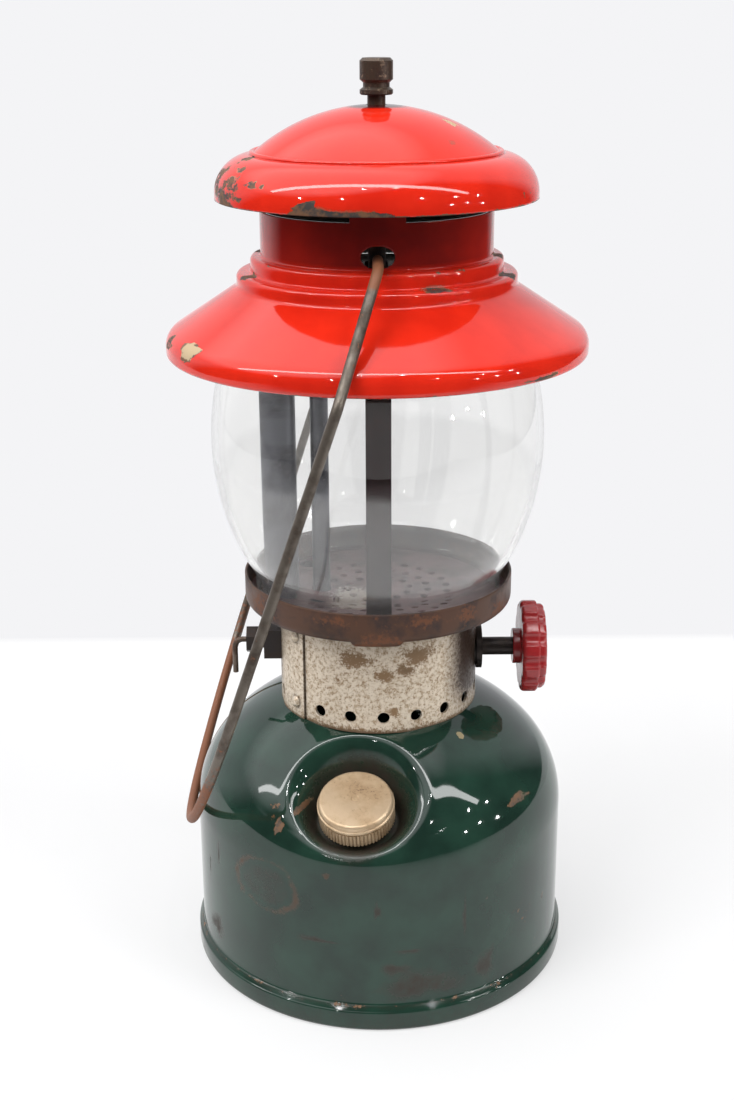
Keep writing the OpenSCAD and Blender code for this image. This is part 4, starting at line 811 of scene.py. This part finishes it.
# Cap: a shallow dome inside a rolled ring, standing on the hood's legs. The same red enamel, chipped along
# the roll and bare along the lip.
top_r, roll_r, roll_c, dome_r, dome_z, stud_r = 54.3, 12.8, (41.5, 282.55), 63.6, 247.156, 3.4
crease = math.degrees(math.acos((roll_c[0] - 0.6) / dome_r))
stud_a = math.degrees(math.acos(stud_r / dome_r))
bead_r, bead_z, top_low = 0.95, 295.5, 280.95
top_line = np.concatenate([spaced([(top_r, top_low), (top_r, 282.4)], 0.5), arc(roll_c, roll_r, 0, 86, 34),
                           arc((roll_c[0], bead_z), bead_r, -8, 155, 10),
                           arc((0, dome_z), dome_r, crease, stud_a, 60)[1:]])
top = piece("top", *spun(top_line, np.arange(0, 360, 1)), red_enamel)
spots = spots_of(top)
along = np.hypot(spots[:, 0], spots[:, 1])
crease_line = 0.4 * np.clip(1 - np.hypot(along - roll_c[0], spots[:, 2] - bead_z - 0.3) / 1.4, 0, 1)
turned = np.degrees(np.arctan2(spots[:, 0], -spots[:, 1]))
crease_line *= np.clip(np.cos(np.radians(turned + 45)) + 0.4, 0, 1)
wear(top,
     chip=np.max([crease_line,
                  0.9 * marks(spots, (-15, 281, 18, 2.4), (-24, 283.2, 5, 2.6), (0, 281, 7, 1.5)),
                  0.56 * marks(spots, (-66, 284, 15, 5), (-62, 288, 11, 5), (-80, 288, 14, 8),
                               (-61, 292.2, 7, 1.6), edge=1.5),
                  0.6 * marks(spots, (-60, 287.5, 4, 1.8), (-49, 288.7, 4, 1.6), (-43, 288.5, 1.6, 1),
                              (-70, 295, 4, 1),
                              (69, 305.3, 3.4, 1.3), (-54, 284, 3, 1), (-64, 281.6, 8, 1.6)),
                  0.3 * marks(spots, (62, 284, 16, 5), (-30, 296, 22, 1.6), edge=1.0),
                  0.55 * np.clip(1 - (spots[:, 2] - top_low) / 0.9, 0, 1) * (along > 52)], axis=0),
     rust=np.maximum(0.75 * marks(spots, (-15, 281.5, 19, 3.2), edge=1.6),
                     0.5 * marks(spots, (69, 305.3, 5, 1.8), (43.5, 300.4, 4, 1.2), edge=1.2)),
     primer=marks(spots, (69, 305.3, 5, 2), rough=0),
     burn=1.1 * np.clip(1 - (along - 8) / 3, 0, 1))
sheet = top.modifiers.new("sheet", "SOLIDIFY")
sheet.thickness = sheet_t / 1000
sheet.offset = -1
top.data.materials.append(sooted_sheet)
sheet.material_offset = 1
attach(top, "lantern")
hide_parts("vent_cap")

# Ball nut: turned from brass bar and screwed down on the frame's stud to hold the cap and hood. The brass has
# gone dark and its edges are rubbed.
nut_brass = finish("nut_brass", aged_metal, clean="#54463b", tarnish="#3a302d", rust="#97826a", stain_mm=5,
                   speck_mm=1.4, stained=0.5, rusted=0.44, shine=0.35, dull=0.55, metal=0.5)
dress(nut_brass, "patina_brass", "ball_nut")

# Bail: one length of steel wire, hooked through the neck at both ends and bowed out past the brim, lying
# against the tank's side. Grey brown, rusty at the hooks and low down.
wire, given = new_tree("bent_wire", Gauge="Float", Sides="Int", Look="Material")
route = add(wire, "GeometryNodeMeshToCurve", {"Mesh": given.outputs["Mesh"]})
section = add(wire, "GeometryNodeCurvePrimitiveCircle",
              {"Resolution": given.outputs["Sides"], "Radius": given.outputs["Gauge"]})
rod = add(wire, "GeometryNodeCurveToMesh", {"Curve": route, "Profile Curve": section, "Fill Caps": True})
rod = add(wire, "GeometryNodeRealizeInstances", {"Geometry": rod})
rod = add(wire, "GeometryNodeSetMaterial", {"Geometry": rod, "Material": given.outputs["Look"]})
add(wire, "NodeGroupOutput", {"Mesh": rod})

wire_steel = finish("wire_steel", aged_metal, clean="#6a6259", tarnish="#494038", rust="#7c4c30", stain_mm=8,
                    speck_mm=1.6, stained=0.55, rusted=0.34, shine=0.35, dull=0.6, metal=0.6)
wire_r, bail_half, bail_reach, bail_low, hook_y, bail_bend, tail_y = 1.75, 80.0, 218.0, 39.0, 53.0, 7.0, 33.5
pivot_z, bail_lean = 264.80, math.radians(18.800)
arm = rounded((tail_y, 0, 0), (hook_y, 0, bail_bend), (bail_half, bail_low, bail_bend),
              (bail_half, bail_reach - bail_half, 0), steps=10)
bow = arc((0, bail_reach - bail_half), bail_half, 0, 180, 60)[1:-1]
path = np.concatenate([spaced(arm, 6), bow, (spaced(arm, 6) * (-1, 1))[::-1]])
path = np.stack([-path[:, 1] * math.sin(bail_lean), path[:, 0],
                 pivot_z - path[:, 1] * math.cos(bail_lean)], -1)
line = bpy.data.meshes.new("bail_wire")
line.from_pydata([tuple(p / 1000) for p in path], [(i, i + 1) for i in range(len(path) - 1)], [])
bail = bpy.data.objects.new("bail_wire", line)
bpy.context.scene.collection.objects.link(bail)
converted(bail, wire, Gauge=wire_r / 1000, Sides=16, Look=wire_steel)
bail.data.shade_smooth()
spots = spots_of(bail)
wear(bail, rust=np.maximum(np.clip((spots[:, 2] - 259) / 4, 0, 1),
                           0.8 * np.clip((120 - spots[:, 2]) / 45, 0, 1)))
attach(bail, "bail")
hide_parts("bail")
